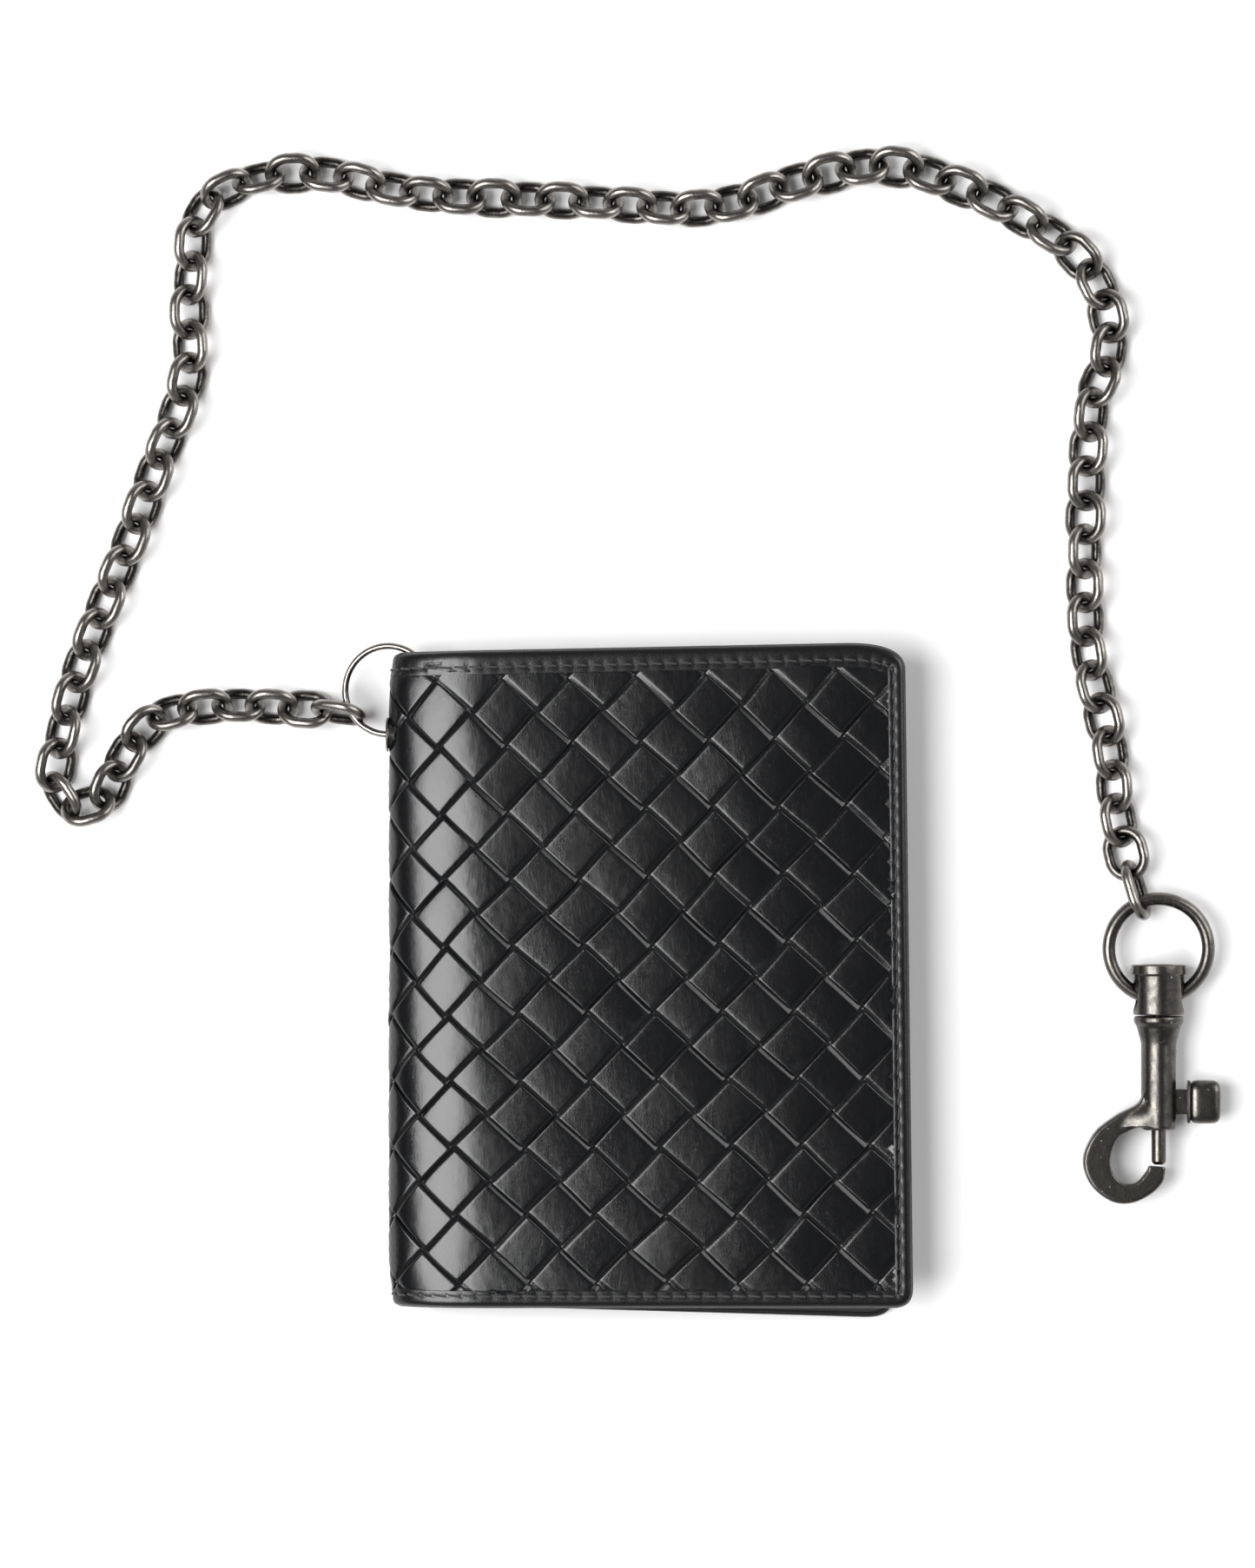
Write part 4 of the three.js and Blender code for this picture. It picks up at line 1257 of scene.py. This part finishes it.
def thumb_knob():
    """The thumb knob: a cushion-shaped pad behind a thin plate, on a flat stem."""
    low, high = box_mm("thumb_knob")
    middle, half = (low + high) / 2, (high - low) / 2
    near = AXIS[0] + 5.3
    pad_left = near + 0.25
    pad_centre = ((pad_left + high[0]) / 2, middle[1], AXIS[2])
    pad = pillow(pad_centre, ((high[0] - pad_left) / 2, half[1], half[2]), 0.42, 0.5)
    plate = pillow((near + 0.25, middle[1], AXIS[2]), (0.25, half[1] * 0.99, half[2] * 0.9), 0.3, 0.35)
    stem_half = ((near + 0.8 - low[0]) / 2, (STEM_TOP - STEM_BOTTOM) / 2, 0.7)
    stem_centre = (low[0] + stem_half[0], (STEM_TOP + STEM_BOTTOM) / 2, AXIS[2])
    stem = pillow(stem_centre, stem_half, 0.12, 0.15)
    return Shape().add(*pad).add(*plate).add(*stem).build("thumb_knob_fine", clasp_metal)


def bolt_spring():
    """The coil spring behind the bolt, wound at one even pitch."""
    low, high = box_mm("bolt_spring")
    wire = 0.4
    radius = (high[0] - low[0] - wire) / 2
    coils = 7
    path = []
    for t in np.linspace(0, 1, coils * 20 + 1):
        turn = t * coils * 2 * math.pi
        rise = low[1] + wire / 2 + (high[1] - low[1] - wire) * t
        path.append((AXIS[0] + radius * math.cos(turn), rise, AXIS[2] + radius * math.sin(turn)))
    return Shape().add(*swept(path, circle(wire / 2, 8))).build("bolt_spring_fine", spring_steel)


def squash_spring(spring):
    """Gives the spring its own copy of its mesh."""
    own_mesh(spring)


# ---- Assemble ----


def assemble_covers():
    """Builds the pieces that go round the covers, hides the CAD nodes that they stand for and bakes
    each piece's placement into its mesh.
    """
    pieces = [
        (woven_shell(), "woven_leather", ("woven_shell_back", "woven_shell_front")),
        (edge_binding(), "smooth_leather", ("edge_binding_back", "edge_binding_front")),
        (edge_paint_highlight_bead(), "smooth_leather", ()),
        (stitches("border_stitches", -back_s, front_s, 0.05, 1), "smooth_leather", ()),
        (spine_tacks(), "smooth_leather", ()),
        (lining(), "lining_leather", ("lining_back", "lining_front")),
        (stitches("lining_stitches", -back_s, front_s, -3.05, -1), "lining_leather", ()),
    ]
    for piece, slot, replaced in pieces:
        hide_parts(*replaced)
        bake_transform(piece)


def place(piece, body, slot):
    """Puts a piece on its body, in place of the CAD node that it is the fine version of."""
    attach(piece, body)
    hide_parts(piece.name.removesuffix("_fine"))


assemble_covers()
for half in ("back", "front"):
    place(leaf(f"stiffener_{half}", board), f"{half}_half", "stiffener_board")
    place(leaf(f"bill_divider_{half}", leaf_leather), f"{half}_half", "smooth_leather")
    for row in (1, 2, 3):
        pocket = leaf(f"card_slot_{row}_{half}", leaf_leather, sewn=True)
        place(pocket, f"{half}_half", "smooth_leather")
place(spine_eyelet(), "back_half", "polished_steel")
place(spine_ring(), "spine_ring", "polished_steel")
chain()
place(key_ring(), "key_ring", "clasp_metal")
place(swivel_barrel(), "swivel_barrel", "clasp_metal")
place(swivel_post(), "clasp_body", "clasp_metal")
place(hook_body(), "clasp_body", "clasp_metal")
place(spring_bolt(), "bolt", "clasp_metal")
place(thumb_knob(), "bolt", "clasp_metal")
spring = bolt_spring()
place(spring, "clasp_body", "spring_steel")
squash_spring(spring)


# ---- Stage ----

def floor():
    """A plain pale table top."""
    reach = 1500
    corners = [(-reach, -reach, 0), (reach, -reach, 0), (reach, reach, 0), (-reach, reach, 0)]
    white = Nodes("table_top").finish(rgb(0.96, 0.96, 0.96), 0.6)
    Shape().add(corners, [(0, 1, 2, 3)]).build("table_top", white)


def area_light(name, place, aim, size, power):
    """A soft box that faces a point, with places in metres."""
    data = bpy.data.lights.new(name, "AREA")
    data.shape = "RECTANGLE"
    data.size, data.size_y = size
    data.energy = power
    lamp = bpy.data.objects.new(name, data)
    lamp.location = place
    lamp.rotation_euler = (Vector(aim) - Vector(place)).to_track_quat("-Z", "Y").to_euler()
    bpy.context.scene.collection.objects.link(lamp)


def world_ramp(tree, value, value_range, light_range):
    """Maps one range of a value onto a range of brightness."""
    ramp = tree.nodes.new("ShaderNodeMapRange")
    tree.links.new(value, ramp.inputs["Value"])
    ramp.inputs["From Min"].default_value, ramp.inputs["From Max"].default_value = value_range
    ramp.inputs["To Min"].default_value, ramp.inputs["To Max"].default_value = light_range
    return ramp.outputs[0]


def room():
    """A room that is darker overhead and darker on the left, so that only the key shines there."""
    world = bpy.data.worlds.new("room")
    world.use_nodes = True
    tree = world.node_tree
    background = tree.nodes["Background"]
    background.inputs["Color"].default_value = (1, 1, 1, 1)
    direction = tree.nodes.new("ShaderNodeTexCoord").outputs["Generated"]
    parts = tree.nodes.new("ShaderNodeSeparateXYZ")
    tree.links.new(direction, parts.inputs[0])
    strength = tree.nodes.new("ShaderNodeMath")
    strength.operation = "MULTIPLY"
    height = world_ramp(tree, parts.outputs["Z"], (0.1, 0.9), (0.6, 0.06))
    side = world_ramp(tree, parts.outputs["X"], (-0.85, -0.3), (0.12, 1.0))
    tree.links.new(height, strength.inputs[0])
    tree.links.new(side, strength.inputs[1])
    tree.links.new(strength.outputs[0], background.inputs["Strength"])
    bpy.context.scene.world = world


def studio():
    """A large soft box on the left, a weaker fill behind on the right, and the room."""
    area_light("key", (-0.62, -0.08, 1.05), (-0.04, 0.0, 0), (0.8, 0.82), 20.5)
    area_light("fill", (1.0, 0.5, 0.8), (0, 0.03, 0), (0.9, 0.9), 9)
    room()


def camera():
    """Straight above, framing the whole layout."""
    height = 0.289  # of what the picture shows, in metres
    focus = 0.008  # the height above the table at which that is measured
    distance = 1.3
    data = bpy.data.cameras.new("camera")
    data.sensor_fit = "VERTICAL"
    data.sensor_height = 24
    data.lens = data.sensor_height * (distance - focus) / height
    data.clip_end = 10
    made = bpy.data.objects.new("camera", data)
    made.location = (-0.0041, 0.036, distance)
    bpy.context.scene.collection.objects.link(made)
    bpy.context.scene.camera = made


floor()
studio()
camera()
bpy.context.scene.view_settings.view_transform = "Standard"
